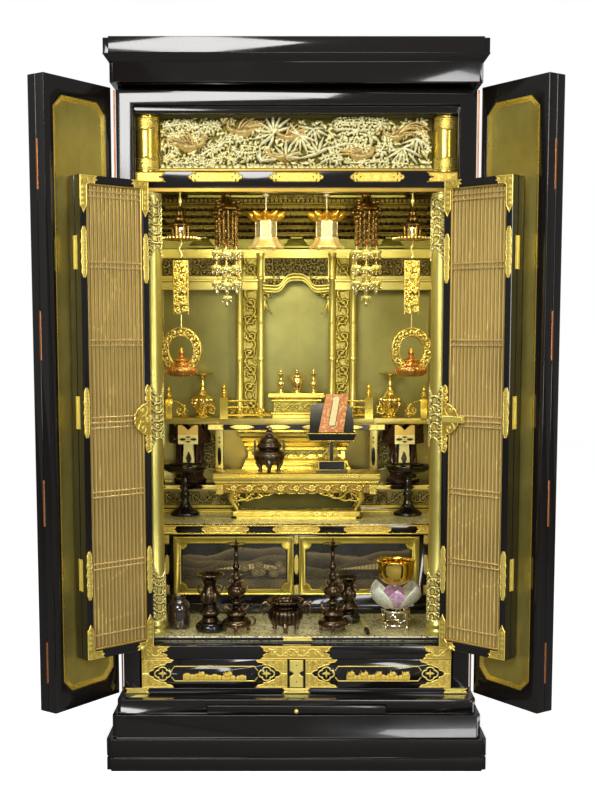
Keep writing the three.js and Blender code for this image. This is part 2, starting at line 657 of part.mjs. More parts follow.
// Hanging garlands: a dark crown and tiers of gilt pendants round it.
function garland(side) {
  const [x, y] = [side * 181, 60];
  const cap = [[0, 1258], [46, 1262], [22, 1312], [14, 1344], [2, 1372], [2, hookTop], [0, hookTop]];
  const crownCap = turned(cap, 8, x, y);
  const drop = turned([[0, 1102], [16, 1140], [36, 1225], [26, 1259], [0, 1259]], 8, x, y);
  const arms = [0, 1, 2, 3].map((k) => {
    const a = (k + 0.5) * 90 * deg;
    const [c, s] = [Math.cos(a), Math.sin(a)];
    return turned([[0, 1150], [9, 1200], [0, 1264]], 4, x + 40 * c, y + 40 * s);
  });
  return join(crownCap, drop, arms);
}

// Hanging six-sided lanterns with a petal roof and a flared skirt.
function lantern(side) {
  const [x, y] = [side * 80, 120];
  const profile = [[0, 1244], [40, 1244], [30, 1264], [30, 1322], [42, 1334], [16, 1356],
    [2, 1372], [2, hookTop], [0, hookTop]];
  return turned(profile, 6, x, y, 0, Math.PI / 6);
}

for (const [name, side] of sides) {
  piece("ring_lamp_" + name, ringLamp(side), giltMetal);
  piece("garland_" + name, garland(side), giltMetal);
  piece("lantern_" + name, lantern(side), giltMetal);
}

// Things standing on the deck. Vessels are hollow where their mouth is open.
const onDeck = deckTop + gap;
const jarProfile = [[0, 0], [20, 0], [29, 8], [30, 48], [24, 68], [15, 73], [15, 80], [11, 80], [11, 70],
  [25, 46], [24, 10], [0, 6]];
const vaseProfile = [[0, 0], [36, 0], [37, 16], [20, 32], [14, 46], [23, 72], [14, 100], [13, 112], [31, 142],
  [27, 142], [9, 112], [10, 100], [19, 72], [0, 50]];
const smallVase = [[0, 0], [24, 0], [12, 16], [10, 30], [21, 64], [11, 88], [27, 116], [23, 116], [7, 88],
  [17, 64], [0, 42]];
const candleProfile = [[0, 0], [25, 0], [25, 18], [12, 34], [20, 44], [12, 58], [22, 86], [8, 120], [5, 200],
  [18, 212], [0, 236]];

function censer() {
  const [x, y] = [-27, -184];
  const profile = [[0, 18], [26, 18], [34, 32], [34, 52], [27, 66], [38, 82], [38, 88], [33, 88], [21, 66],
    [28, 50], [0, 26]];
  const bowl = turned(profile, 10, x, y, onDeck);
  const legs = [90, 210, 330].map((a) => turned([[0, 0], [5, 0], [8, 24], [0, 28]], 5,
    x + 24 * Math.cos(a * deg), y + 24 * Math.sin(a * deg), onDeck));
  const ears = [-1, 1].map((side) => rod([[30, 38], [52, 34], [60, 50], [50, 66], [31, 60]].map(([r, z]) =>
    [x + side * r, y, onDeck + z]), 5, 4, 4));
  return join(bowl, legs, ears);
}

function candlestick(x) {
  const body = turned(candleProfile, 8, x, -200, onDeck);
  const handle = [[18, 26], [34, 30], [38, 21], [30, 13], [20, 14]];
  const loop = rod(handle.map(([r, z]) => [x + r, -200, onDeck + z]), 2.6, 4, 4);
  return join(body, loop);
}

piece("lidless_jar", turned(jarProfile, 10, -293, -154, onDeck), bronze);
piece("vase_left", turned(vaseProfile, 10, -213, -188, onDeck), bronze);
piece("vase_right", turned(smallVase, 10, 132.5, -94, onDeck), bronze);
piece("candlestick_left", candlestick(-147.5), bronze);
piece("candlestick_right", candlestick(89), bronze);
piece("censer", censer(), bronze);

// Bowl bell on a glass lotus cushion on a gilt stand, with its striker lying beside it.
const bell = { x: 249, y: -133 };

function bellStand() {
  const legs = [45, 135, 225, 315].map((a) => rod([[46, 0], [46, 8], [36, 26], [42, 44]].map(([r, z]) =>
    [bell.x + r * Math.cos(a * deg), bell.y + r * Math.sin(a * deg), onDeck + z + 0.6]), 5, 3, 4));
  const ring = cut(turned([[0, 36], [52, 36], [53, 46], [0, 46]], 12, bell.x, bell.y, onDeck),
    turned([[0, 30], [30, 30], [30, 60], [0, 60]], 12, bell.x, bell.y, onDeck));
  return join(legs, ring);
}

function bellLotus() {
  const base = onDeck + 46 + gap;
  const cushion = [[0, 0], [34, 0], [51, 24], [44, 52], [33, 52], [28, 36], [0, 30]];
  const core = turned(cushion, 10, bell.x, bell.y, base);
  const petals = Array.from({ length: 6 }, (_, k) => {
    const a = (k + 0.5) * 60 * deg;
    const [x, y] = [bell.x + 48 * Math.cos(a), bell.y + 48 * Math.sin(a)];
    return turned([[0, 10], [15, 34], [0, 66]], 4, x, y, base);
  });
  return join(core, petals);
}

const bellProfile = [[0, 0], [22, 2], [38, 16], [45, 36], [45, 58], [48, 63], [41, 63], [40, 36], [30, 16],
  [0, 6]];
const striker = [[174, -240], [170, -170], [166, -100]].map(([x, y]) => [x, y, onDeck + 6.4]);
piece("bell_stand", bellStand(), giltMetal);
piece("bell_lotus", bellLotus(), glassWhite);
piece("bowl_bell", turned(bellProfile, 12, bell.x, bell.y, onDeck + 46 + 58 + 2 * gap), giltMetal);
piece("bell_striker", rod(striker, 6, 2, 8), lacquer);

// Door leaves, each pair folded together. In a leaf's own frame u runs from the pin to the fold.
function doorGroup(side, pinX, pinY, turn) {
  const group = new THREE.Group();
  group.position.set(side * pinX, pinY, 0);
  group.rotation.z = side * turn * deg;
  altar.add(group);
  return group;
}

// A board in the leaf's frame: u0..u1 along the leaf, y0..y1 across it.
const leafBox = (side, u0, u1, y0, y1, z0, z1) =>
  side < 0 ? box(u0, u1, y0, y1, z0, z1) : box(-u1, -u0, y0, y1, z0, z1);

function leafOutline(side, u0, u1, z0, z1, chamfer) {
  const points = [[u0, z0 + chamfer], [u0 + chamfer, z0], [u1 - chamfer, z0], [u1, z0 + chamfer],
    [u1, z1 - chamfer], [u1 - chamfer, z1], [u0 + chamfer, z1], [u0, z1 - chamfer]];
  const placed = points.map(([u, z]) => [-side * u, z]);
  return outline(side > 0 ? placed.reverse() : placed);
}

// Outer leaf: plain outside, a sunk gilt panel with chamfered corners inside.
// yIn is the interior face and dir is the way it faces.
function outerBoard(side, yIn, dir) {
  const { width: w, thick: t, bottom, top } = outerLeaf;
  const span = (a, b) => [Math.min(yIn + dir * a, yIn + dir * b), Math.max(yIn + dir * a, yIn + dir * b)];
  const slab = leafBox(side, 0.6, w - 0.6, ...span(-t, 0), bottom, top);
  const panel = leafOutline(side, 20, w - 28, bottom + 42, top - 40, 26);
  return cut(slab, upright(panel, ...span(-7, 5)));
}

// Inner leaf: a frame round a gauze panel with upright bars and cross bars on its exterior face.
const barCount = 4;
const crossShares = [0.34, 0.66];

function innerBoard(side, yOut, dir, withPlate) {
  const { width: w, thick: t, bottom, top } = innerLeaf;
  const span = (a, b) => [Math.min(yOut + dir * a, yOut + dir * b), Math.max(yOut + dir * a, yOut + dir * b)];
  const slab = leafBox(side, 0.6, w - 0.6, ...span(0, t), bottom, top);
  const [u0, u1, z0, z1] = [19, w - 19, bottom + 22, top - 18];
  const pitch = (u1 - u0) / (barCount + 1);
  const heights = [z0, ...crossShares.map((share) => z0 + share * (z1 - z0)), z1];
  const cells = [];
  for (let k = 0; k <= barCount; k++)
    for (let n = 0; n + 1 < heights.length; n++)
      cells.push(leafBox(side, u0 + k * pitch + 2, u0 + (k + 1) * pitch - 2, ...span(-2, 9),
        heights[n] + 6, heights[n + 1] - 6));
  const back = leafBox(side, u0, u1, ...span(13, t + 2), z0, z1);
  const body = cut(slab, cells, back);
  if (!withPlate) return body;
  const middle = 0.5 * (bottom + top);
  const edge = -side * 0.6;
  const lobes = [[20, 72, 8, 44, 26, 38], [40, 32, 39, 12, 47, 0], [39, -12, 40, -32, 26, -38],
    [8, -44, 20, -72, 0, -76]];
  const plate = new THREE.Shape().moveTo(edge, middle + 76);
  for (const [a, b, c, d, e, f] of lobes) {
    const handles = [edge - side * a, middle + b, edge - side * c, middle + d];
    plate.bezierCurveTo(...handles, edge - side * e, middle + f);
  }
  return join(body, upright(plate, ...span(-2.4, 4), 2));
}

for (const [name, side] of sides) {
  const outer = doorGroup(side, outerLeaf.pinX, outerLeaf.pinY, outerLeaf.open);
  const t = outerLeaf.thick;
  piece("outer_door_" + name, outerBoard(side, 0, 1), lacquer, outer);
  piece("outer_fold_" + name, outerBoard(side, -2 * t - 1, -1), lacquer, outer);
  const inner = doorGroup(side, innerLeaf.pinX, innerLeaf.pinY, innerLeaf.open);
  piece("inner_door_" + name, innerBoard(side, 0, 1, false), gauze, inner);
  piece("inner_fold_" + name, innerBoard(side, 2 * innerLeaf.thick + 2, -1, true), gauze, inner);
}

export default altar;
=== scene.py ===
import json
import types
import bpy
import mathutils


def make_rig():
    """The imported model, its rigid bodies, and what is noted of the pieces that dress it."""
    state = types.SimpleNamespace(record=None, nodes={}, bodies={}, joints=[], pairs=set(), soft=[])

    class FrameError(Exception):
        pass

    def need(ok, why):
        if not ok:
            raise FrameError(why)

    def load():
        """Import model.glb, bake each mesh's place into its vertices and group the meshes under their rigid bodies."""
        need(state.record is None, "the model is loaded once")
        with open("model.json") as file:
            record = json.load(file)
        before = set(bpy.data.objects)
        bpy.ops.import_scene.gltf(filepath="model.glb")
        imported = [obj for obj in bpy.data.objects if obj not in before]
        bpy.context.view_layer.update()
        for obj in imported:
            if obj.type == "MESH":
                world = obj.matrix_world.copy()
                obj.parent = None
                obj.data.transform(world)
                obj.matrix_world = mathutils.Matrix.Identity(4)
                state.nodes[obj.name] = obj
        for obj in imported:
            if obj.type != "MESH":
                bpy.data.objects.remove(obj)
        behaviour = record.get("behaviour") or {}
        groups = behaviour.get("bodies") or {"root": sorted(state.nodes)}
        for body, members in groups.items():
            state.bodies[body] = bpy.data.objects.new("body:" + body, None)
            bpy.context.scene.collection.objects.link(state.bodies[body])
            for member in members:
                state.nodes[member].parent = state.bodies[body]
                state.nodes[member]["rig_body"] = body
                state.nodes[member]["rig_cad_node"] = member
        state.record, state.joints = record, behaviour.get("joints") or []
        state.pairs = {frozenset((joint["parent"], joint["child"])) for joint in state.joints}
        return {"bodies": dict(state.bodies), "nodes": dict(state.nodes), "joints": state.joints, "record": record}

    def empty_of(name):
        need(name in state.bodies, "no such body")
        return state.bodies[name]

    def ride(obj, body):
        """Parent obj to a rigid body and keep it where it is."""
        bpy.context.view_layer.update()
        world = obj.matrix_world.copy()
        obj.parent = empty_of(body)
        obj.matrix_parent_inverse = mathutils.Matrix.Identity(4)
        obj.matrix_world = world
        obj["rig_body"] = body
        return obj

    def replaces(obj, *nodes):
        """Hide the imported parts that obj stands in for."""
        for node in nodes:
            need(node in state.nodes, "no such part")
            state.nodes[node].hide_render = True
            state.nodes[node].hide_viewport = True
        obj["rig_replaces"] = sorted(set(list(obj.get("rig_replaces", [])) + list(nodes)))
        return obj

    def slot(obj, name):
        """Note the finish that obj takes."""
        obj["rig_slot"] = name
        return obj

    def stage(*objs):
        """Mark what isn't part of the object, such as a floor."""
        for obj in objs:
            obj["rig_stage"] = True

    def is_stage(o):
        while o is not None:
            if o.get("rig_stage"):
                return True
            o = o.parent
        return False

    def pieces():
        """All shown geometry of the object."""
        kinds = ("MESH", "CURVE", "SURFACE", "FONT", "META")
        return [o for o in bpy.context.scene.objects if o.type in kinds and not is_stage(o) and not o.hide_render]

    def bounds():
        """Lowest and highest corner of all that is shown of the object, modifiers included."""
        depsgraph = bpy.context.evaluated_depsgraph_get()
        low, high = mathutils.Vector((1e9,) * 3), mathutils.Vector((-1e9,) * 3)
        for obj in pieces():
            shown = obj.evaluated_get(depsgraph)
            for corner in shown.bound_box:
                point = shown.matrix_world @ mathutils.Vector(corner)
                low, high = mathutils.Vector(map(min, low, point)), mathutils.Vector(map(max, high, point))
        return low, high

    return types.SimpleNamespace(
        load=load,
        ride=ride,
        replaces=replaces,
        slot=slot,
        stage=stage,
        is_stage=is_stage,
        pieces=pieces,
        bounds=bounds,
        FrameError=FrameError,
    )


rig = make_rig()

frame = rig.load()

import json
import math

import bmesh
import bpy
import numpy as np
from mathutils import Vector

cad_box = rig.bounds()

# Camera, floor and light. The camera stands where the photograph was taken from: 3.19 m before the cabinet's
# middle, just over 1 m up and looking slightly down. The light is a wide soft front light, a softer one from
# above and the cabinet's own small lamps behind its head rail.
scene = bpy.context.scene
view = bpy.data.cameras.new("view")
view.lens = 56.1
view.sensor_width = 36
view.shift_x = 0.0014
view.shift_y = 0.0857
camera = bpy.data.objects.new("camera", view)
camera.location = (0, -3.1887, 1.0191)
camera.rotation_euler = (math.radians(90 - 5.907), 0, 0)
scene.collection.objects.link(camera)
scene.camera = camera
scene.view_settings.view_transform = "Standard"


def shader_node(tree, kind, inputs=None, **settings):
    """One shader node: settings are its own options, inputs its sockets by name or number, as values or links."""
    made = tree.nodes.new("ShaderNode" + kind)
    for key, value in settings.items():
        setattr(made, key, value)
    for key, value in (inputs or {}).items():
        socket = made.inputs[key]
        if isinstance(value, bpy.types.NodeSocket):
            tree.links.new(value, socket)
        else:
            socket.default_value = value
    return made


def ramp(tree, factor, *stops):
    """A colour ramp: each stop is (place, colour or grey value)."""
    made = shader_node(tree, "ValToRGB", {"Fac": factor})
    elements = made.color_ramp.elements
    while len(elements) < len(stops):
        elements.new(1)
    for element, (place, value) in zip(elements, stops):
        element.position = place
        element.color = (*((value,) * 3 if isinstance(value, (int, float)) else value), 1)
    return made.outputs["Color"]


def new_material(name):
    """An empty material with its output and one Principled shader: returns material, tree and shader."""
    material = bpy.data.materials.new(name)
    material.use_nodes = True
    tree = material.node_tree
    return material, tree, tree.nodes["Principled BSDF"]


def area_light(name, place, target, size, power, colour=(1, 1, 1)):
    light = bpy.data.lights.new(name, "AREA")
    light.shape = "RECTANGLE"
    light.size, light.size_y = size
    light.energy = power
    light.color = colour
    holder = bpy.data.objects.new(name, light)
    holder.location = place
    holder.rotation_euler = (Vector(target) - Vector(place)).to_track_quat("-Z", "Y").to_euler()
    scene.collection.objects.link(holder)


area_light("front_soft", (-1.1, -3.6, 2.3), (0, 0, 0.9), (1.5, 1.1), 86, (1, 0.99, 0.97))
area_light("front_right", (1.9, -3.0, 1.5), (0, 0, 0.9), (0.5, 1.6), 28)
area_light("front_low", (0.3, -3.3, 0.75), (0, 0, 0.6), (0.9, 0.3), 12)
area_light("above", (0, -0.8, 3.6), (0, 0, 0.8), (1.4, 1.0), 36)
area_light("cabinet_lamp", (0, -0.19, 1.35), (0, 0.25, 0.8), (0.62, 0.03), 2.0, (1, 0.92, 0.62))

world = bpy.data.worlds.new("studio")
world.use_nodes = True
backdrop = world.node_tree.nodes["Background"]
backdrop.inputs["Color"].default_value = (1, 1, 1, 1)
seen = shader_node(world.node_tree, "LightPath").outputs["Is Camera Ray"]
brightness = shader_node(world.node_tree, "MapRange", {"Value": seen, "To Min": 0.26, "To Max": 1.0})
world.node_tree.links.new(brightness.outputs["Result"], backdrop.inputs["Strength"])
scene.world = world

floor_mesh = bpy.data.meshes.new("floor")
floor_mesh.from_pydata([(-9, -9, 0), (9, -9, 0), (9, 9, 0), (-9, 9, 0)], [], [(0, 1, 2, 3)])
floor = bpy.data.objects.new("floor", floor_mesh)
floor.location.z = -0.0005
scene.collection.objects.link(floor)
pale, tree, shader = new_material("pale_floor")
seen = shader_node(tree, "LightPath").outputs["Is Camera Ray"]
tone = shader_node(tree, "Mix", {"Factor": seen, "A": (0.2, 0.2, 0.2, 1), "B": (0.93, 0.93, 0.93, 1)},
                   data_type="RGBA")
tree.links.new(tone.outputs["Result"], shader.inputs["Base Color"])
shader.inputs["Roughness"].default_value = 0.8
glow = shader_node(tree, "Mix", {"Factor": seen, "A": (0, 0, 0, 1), "B": (0.74, 0.74, 0.74, 1)},
                   data_type="RGBA")
tree.links.new(glow.outputs["Result"], shader.inputs["Emission Color"])
shader.inputs["Emission Strength"].default_value = 1.0
floor_mesh.materials.append(pale)
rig.stage(floor)

# Lacquered body: plinth, tray, carcass, front frame, cornice and drawers, in many coats of black lacquer rubbed to
# a high gloss. The boards are the CAD solids with their arrises eased by a small bevel.


def object_place(tree):
    return shader_node(tree, "TexCoord").outputs["Object"]


def make_group(name, inputs, outputs):
    """An empty shader node group with named sockets: returns the group, its input node and its output node."""
    group = bpy.data.node_groups.new(name, "ShaderNodeTree")
    for label, kind, value in inputs:
        made = group.interface.new_socket(label, in_out="INPUT", socket_type="NodeSocket" + kind)
        if value is not None:
            made.default_value = value
    for label, kind in outputs:
        group.interface.new_socket(label, in_out="OUTPUT", socket_type="NodeSocket" + kind)
    return group, group.nodes.new("NodeGroupInput"), group.nodes.new("NodeGroupOutput")


# Rubbed surface: broad uneven polish with fine dust in it. Puts out a roughness and a faint dust mask.
rubbed, into, out = make_group(
    "rubbed_surface",
    [("Place", "Vector", None), ("Low", "Float", 0.06), ("High", "Float", 0.2), ("Scale", "Float", 5.0)],
    [("Roughness", "Float"), ("Dust", "Float")],
)
broad = shader_node(rubbed, "TexNoise", {"Vector": into.outputs["Place"], "Scale": into.outputs["Scale"],
                                         "Detail": 4.0, "Roughness": 0.6})
spread = shader_node(rubbed, "MapRange", {"Value": broad.outputs["Fac"], "From Min": 0.3, "From Max": 0.72,
                                          "To Min": into.outputs["Low"], "To Max": into.outputs["High"]})
rubbed.links.new(spread.outputs["Result"], out.inputs["Roughness"])
specks = shader_node(rubbed, "TexNoise", {"Vector": into.outputs["Place"], "Scale": 900.0, "Detail": 1.0})
dust = shader_node(rubbed, "MapRange", {"Value": specks.outputs["Fac"], "From Min": 0.7, "From Max": 0.8})
rubbed.links.new(dust.outputs["Result"], out.inputs["Dust"])


def place_group(tree, group, inputs):
    made = tree.nodes.new("ShaderNodeGroup")
    made.node_tree = group
    for key, value in inputs.items():
        if isinstance(value, bpy.types.NodeSocket):
            tree.links.new(value, made.inputs[key])
        else:
            made.inputs[key].default_value = value
    return made


def lacquer(name, colour, low=0.05, high=0.16, dust_colour=(0.05, 0.045, 0.04, 1)):
    """Polished lacquer: near-black under a clear coat, the polish a little uneven, fine dust specks."""
    material, tree, shader = new_material(name)
    place = object_place(tree)
    rub = place_group(tree, rubbed, {"Place": place, "Low": low, "High": high, "Scale": 4.0})
    tone = shader_node(tree, "Mix", {"Factor": rub.outputs["Dust"], "A": (*colour, 1), "B": dust_colour},
                       data_type="RGBA")
    tree.links.new(tone.outputs["Result"], shader.inputs["Base Color"])
    tree.links.new(rub.outputs["Roughness"], shader.inputs["Roughness"])
    shader.inputs["Specular IOR Level"].default_value = 0.4
    shader.inputs["Coat Weight"].default_value = 0.35
    shader.inputs["Coat Roughness"].default_value = 0.03
    wave = shader_node(tree, "TexNoise", {"Vector": place, "Scale": 3.0, "Detail": 1.0})
    bump = shader_node(tree, "Bump", {"Height": wave.outputs["Fac"], "Strength": 0.06, "Distance": 0.01})
    tree.links.new(bump.outputs["Normal"], shader.inputs["Normal"])
    return material


body_black = lacquer("body_black_lacquer", (0.0075, 0.0058, 0.005))
plinth_black = lacquer("plinth_black_lacquer", (0.005, 0.004, 0.0035), 0.1, 0.24)


def eased(node, material, width, slot, segments=2, body="root", flat_faces=True):
    """A copy of a CAD solid, its loose triangles merged, into whole flat faces if asked, and its sharp edges eased by
    width in millimetres."""
    source = frame["nodes"][node]
    mesh = source.data.copy()
    shape = bmesh.new()
    shape.from_mesh(mesh)
    bmesh.ops.remove_doubles(shape, verts=shape.verts, dist=1e-6)
    if flat_faces:
        bmesh.ops.dissolve_limit(shape, angle_limit=math.radians(1.5), verts=shape.verts, edges=shape.edges)
    shape.to_mesh(mesh)
    shape.free()
    mesh.materials.clear()
    mesh.materials.append(material)
    made = bpy.data.objects.new(node + "_eased", mesh)
    scene.collection.objects.link(made)
    bevel = made.modifiers.new("eased_edges", "BEVEL")
    bevel.width = width / 1000
    bevel.segments = segments
    bevel.limit_method = "ANGLE"
    bevel.angle_limit = math.radians(35)
    bevel.harden_normals = True
    mesh.shade_smooth()
    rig.ride(made, body)
    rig.replaces(made, node)
    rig.slot(made, slot)
    return made


for node in ("plinth", "tray"):
    eased(node, plinth_black, 1.2, "lacquer_body", 2, "tray" if node == "tray" else "root", False)
for node in ("carcass", "front_frame", "cornice", "drawer_case"):
    eased(node, body_black, 1.4, "lacquer_body")
for node in ("drawer_left", "drawer_right"):
    eased(node, body_black, 0.6, "lacquer_body", 1, node)

# Gilt metal plates on the body: sawn from sheet brass, engraved, gilt and pinned over the corners of the drawers and
# the middle of the sill. Every plate is a thin board on a grid whose height is zero where the metal is cut away.
MM = 0.001


def sheet(points, loop_u=False, loop_v=False, tone=None, keep=None):
    """A grid of points for build(): tone is a shade per point, keep tells which points are really there."""
    tone = np.ones(points.shape[:2]) if tone is None else np.broadcast_to(tone, points.shape[:2])
    return points, loop_u, loop_v, tone, keep


def build(name, sheets, material, slot, body="root", replaces=(), smooth=True, closed=True, sharp=38):
    """Joins grids of points, in millimetres, into one mesh of four-cornered faces. Closed forms are merged at their
    seams and turned to face outwards."""
    corners, faces, tones, start = [], [], [], 0
    for points, loop_u, loop_v, tone, keep in sheets:
        n, m = points.shape[:2]
        i = np.arange(n if loop_u else n - 1)[:, None]
        j = np.arange(m if loop_v else m - 1)[None, :]
        i, j = np.broadcast_arrays(i, j)
        k, l = (i + 1) % n, (j + 1) % m
        quads = np.stack([i * m + j, k * m + j, k * m + l, i * m + l], -1).reshape(-1, 4)
        if keep is not None:
            quads = quads[keep.reshape(-1)[quads].any(1)]
        corners.append(points.reshape(-1, 3) * MM)
        faces.append(quads + start)
        tones.append(tone.reshape(-1))
        start += n * m
    corners, faces, tones = np.concatenate(corners), np.concatenate(faces), np.concatenate(tones)
    used = np.zeros(len(corners), bool)
    used[faces] = True
    place = np.cumsum(used) - 1
    corners, tones, faces = corners[used], tones[used], place[faces]
    mesh = bpy.data.meshes.new(name)
    mesh.vertices.add(len(corners))
    mesh.vertices.foreach_set("co", corners.astype(np.float32).ravel())
    mesh.loops.add(faces.size)
    mesh.loops.foreach_set("vertex_index", faces.astype(np.int32).ravel())
    mesh.polygons.add(len(faces))
    mesh.polygons.foreach_set("loop_start", np.arange(0, faces.size, 4, dtype=np.int32))
    mesh.attributes.new("tone", "FLOAT", "POINT").data.foreach_set("value", tones.astype(np.float32))
    mesh.update()
    if closed:
        shape = bmesh.new()
        shape.from_mesh(mesh)
        bmesh.ops.remove_doubles(shape, verts=shape.verts, dist=4e-6)
        bmesh.ops.recalc_face_normals(shape, faces=shape.faces)
        shape.to_mesh(mesh)
        shape.free()
    if smooth:
        mesh.shade_smooth()
        mesh.set_sharp_from_angle(angle=math.radians(sharp))
    mesh.materials.append(material)
    made = bpy.data.objects.new(name, mesh)
    scene.collection.objects.link(made)
    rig.ride(made, body)
    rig.slot(made, slot)
    if replaces:
        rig.replaces(made, *replaces)
    return made


def board(frame_of, a0, a1, b0, b1, step, height, two_sided=False, tone=None, least=0.02):
    """A carved or sawn board: points a along and b across on a grid, standing out of the plane by height(a, b) and
    left out where that is nothing. frame_of is (origin, along, across, outward)."""
    origin, along, across, outward = (np.asarray(v, float) for v in frame_of)
    a = np.linspace(a0, a1, max(2, int(round((a1 - a0) / step)) + 1))
    b = np.linspace(b0, b1, max(2, int(round((b1 - b0) / step)) + 1))
    A, B = np.meshgrid(a, b, indexing="ij")
    H = height(A, B)
    # With no tone given, the tone is the height: painted shade in the low places, a painted highlight on the high
    # ones.
    shade = (H / max(H.max(), 1e-6)) if tone is None else tone(A, B, H)
    keep = H > least
    H = np.maximum(H, 0)
    flat = origin + A[..., None] * along + B[..., None] * across
    made = [sheet(flat + H[..., None] * outward, tone=shade, keep=keep)]
    if two_sided:
        made.append(sheet(flat - H[..., None] * outward, tone=shade, keep=keep))
    return made


def inside_outline(A, B, outline):
    """Signed distance of every point to a closed outline, positive inside: the nearest edge, signed by winding."""
    outline = np.asarray(outline, float)
    nearest = np.full(A.shape, 1e9)
    inside = np.zeros(A.shape, bool)
    for (ax, ay), (bx, by) in zip(outline, np.roll(outline, -1, 0)):
        ex, ey = bx - ax, by - ay
        t = np.clip(((A - ax) * ex + (B - ay) * ey) / (ex * ex + ey * ey + 1e-12), 0, 1)
        nearest = np.minimum(nearest, np.hypot(A - ax - t * ex, B - ay - t * ey))
        crosses = ((ay > B) != (by > B)) & (A < ex * (B - ay) / (ey if abs(ey) > 1e-9 else 1e-9) + ax)
        inside ^= crosses
    return np.where(inside, nearest, -nearest)


def balls(rows, A, B, H=None):
    """The highest of many domes, each (a, b, radius, height): height times the root of 1 - (distance / radius)^2."""
    H = np.zeros_like(A) if H is None else H
    a0, b0 = A[0, 0], B[0, 0]
    da, db = A[1, 0] - a0, B[0, 1] - b0
    for a, b, r, h in rows:
        i0, i1 = max(int((a - r - a0) / da), 0), min(int((a + r - a0) / da) + 2, A.shape[0])
        j0, j1 = max(int((b - r - b0) / db), 0), min(int((b + r - b0) / db) + 2, A.shape[1])
        if i0 < i1 and j0 < j1:
            part = H[i0:i1, j0:j1]
            near = ((A[i0:i1, j0:j1] - a) ** 2 + (B[i0:i1, j0:j1] - b) ** 2) / (r * r)
            np.maximum(part, h * np.sqrt(np.clip(1 - near, 0, None)), out=part)
    return H


def stroke(points, r0, r1, h, middle=None, count=10):
    """A carved stroke: balls along a smooth curve through the points, the radius going from r0 to r1, by way of
    middle where one is given."""
    points = np.asarray(points, float)
    t = np.linspace(0, 1, count)
    if len(points) == 3:
        a, b, c = points
        way = ((1 - t) ** 2)[:, None] * a + (2 * t * (1 - t))[:, None] * b + (t * t)[:, None] * c
    else:
        s = np.linspace(0, 1, len(points))
        way = np.stack([np.interp(t, s, points[:, k]) for k in (0, 1)], 1)
    r = np.interp(t, [0, 1], [r0, r1]) if middle is None else np.interp(t, [0, 0.4, 1], [r0, middle, r1])
    return np.column_stack([way, r, np.full(count, h) * (0.55 + 0.45 * r / r.max())])


def leaf(a, b, length, angle, width, h, bend=0.25):
    """A leaf: a stroke that swells and tapers, bent to one side."""
    c, s = math.cos(angle), math.sin(angle)
    tip = (a + length * c, b + length * s)
    side = (a + 0.5 * length * c - bend * length * s, b + 0.5 * length * s + bend * length * c)
    return stroke([(a, b), side, tip], width * 0.35, width * 0.12, h, width * 0.5, max(5, int(length / 1.6)))


def curl(a, b, size, angle, hand, h, turns=1.15, thick=0.17):
    """A scroll: a stroke along a spiral that closes towards its middle, with three leaf tips outside it."""
    t = np.linspace(0, 1, max(14, int(size * 2)))
    r = size * (1 - 0.8 * t)
    w = angle + hand * 2 * np.pi * turns * t
    rows = [np.column_stack([a + r * np.cos(w), b + r * np.sin(w), size * thick * (1 - 0.35 * t),
                             h * (0.7 + 0.3 * t)])]
    rows.append(np.array([[a, b, size * 0.24, h]]))
    for k in (0.08, 0.24, 0.42):
        n = int(k * len(t))
        rows.append(leaf(a + r[n] * math.cos(w[n]), b + r[n] * math.sin(w[n]), size * 0.5, w[n] - hand * 0.5,
                         size * 0.26, h * 0.85, 0.2 * hand))
    return np.concatenate(rows)


def blossom(a, b, size, h, petals=6):
    """A flower: a ring of petals round a raised eye."""
    w = np.arange(petals) * 2 * np.pi / petals + 0.3
    ring = np.column_stack([a + 0.58 * size * np.cos(w), b + 0.58 * size * np.sin(w),
                            np.full(petals, 0.42 * size),
                            np.full(petals, 0.8 * h)])
    return np.concatenate([ring, [[a, b, 0.3 * size, h]]])


def arabesque(a0, a1, b, size, h, seed=0):
    """A running scroll in a band: a waving stem with a scroll in each bay and leaves between."""
    rng = np.random.default_rng(abs(int(seed)))
    bays = max(1, int(round((a1 - a0) / (1.75 * size))))
    pitch = (a1 - a0) / bays
    t = np.linspace(0, bays, 12 * bays)
    stem = np.column_stack([a0 + t * pitch, b + 0.55 * size * np.cos(np.pi * t), np.full(len(t), 0.11 * size),
                            np.full(len(t), 0.7 * h)])
    rows = [stem]
    for k in range(bays):
        sign = 1 if k % 2 else -1
        x = a0 + (k + 0.5) * pitch
        rows.append(curl(x, b - sign * 0.12 * size, 0.56 * size, sign * (1.9 + 0.3 * rng.random()), sign, h))
        for _ in range(3):
            rows.append(leaf(x + (rng.random() - 0.5) * pitch, b + sign * size * (0.25 + 0.4 * rng.random()),
                             size * (0.35 + 0.2 * rng.random()), rng.random() * 6.3, 0.2 * size, 0.7 * h))
    return np.concatenate(rows)


def metal_tone(tree, dark, mid, bright, scale=240.0):
    """Colour of worked gold: the tone of the piece, which on carving and engraving is painted shade in the low places
    and a painted highlight on the high ones, broken by fine punched mottling.
    """
    place = object_place(tree)
    tone = shader_node(tree, "Attribute", attribute_name="tone").outputs["Fac"]
    grain = shader_node(tree, "TexNoise", {"Vector": place, "Scale": scale, "Detail": 3.0, "Roughness": 0.7})
    mixed = shader_node(tree, "MapRange", {"Value": grain.outputs["Fac"], "From Min": 0.35, "From Max": 0.65,
                                           "To Min": -0.22, "To Max": 0.22})
    shade = shader_node(tree, "Math", {0: tone, 1: mixed.outputs["Result"]}, operation="ADD", use_clamp=True)
    return ramp(tree, shade.outputs["Value"], (0.0, dark), (0.42, mid),
                (0.9, bright)), grain.outputs["Fac"], place


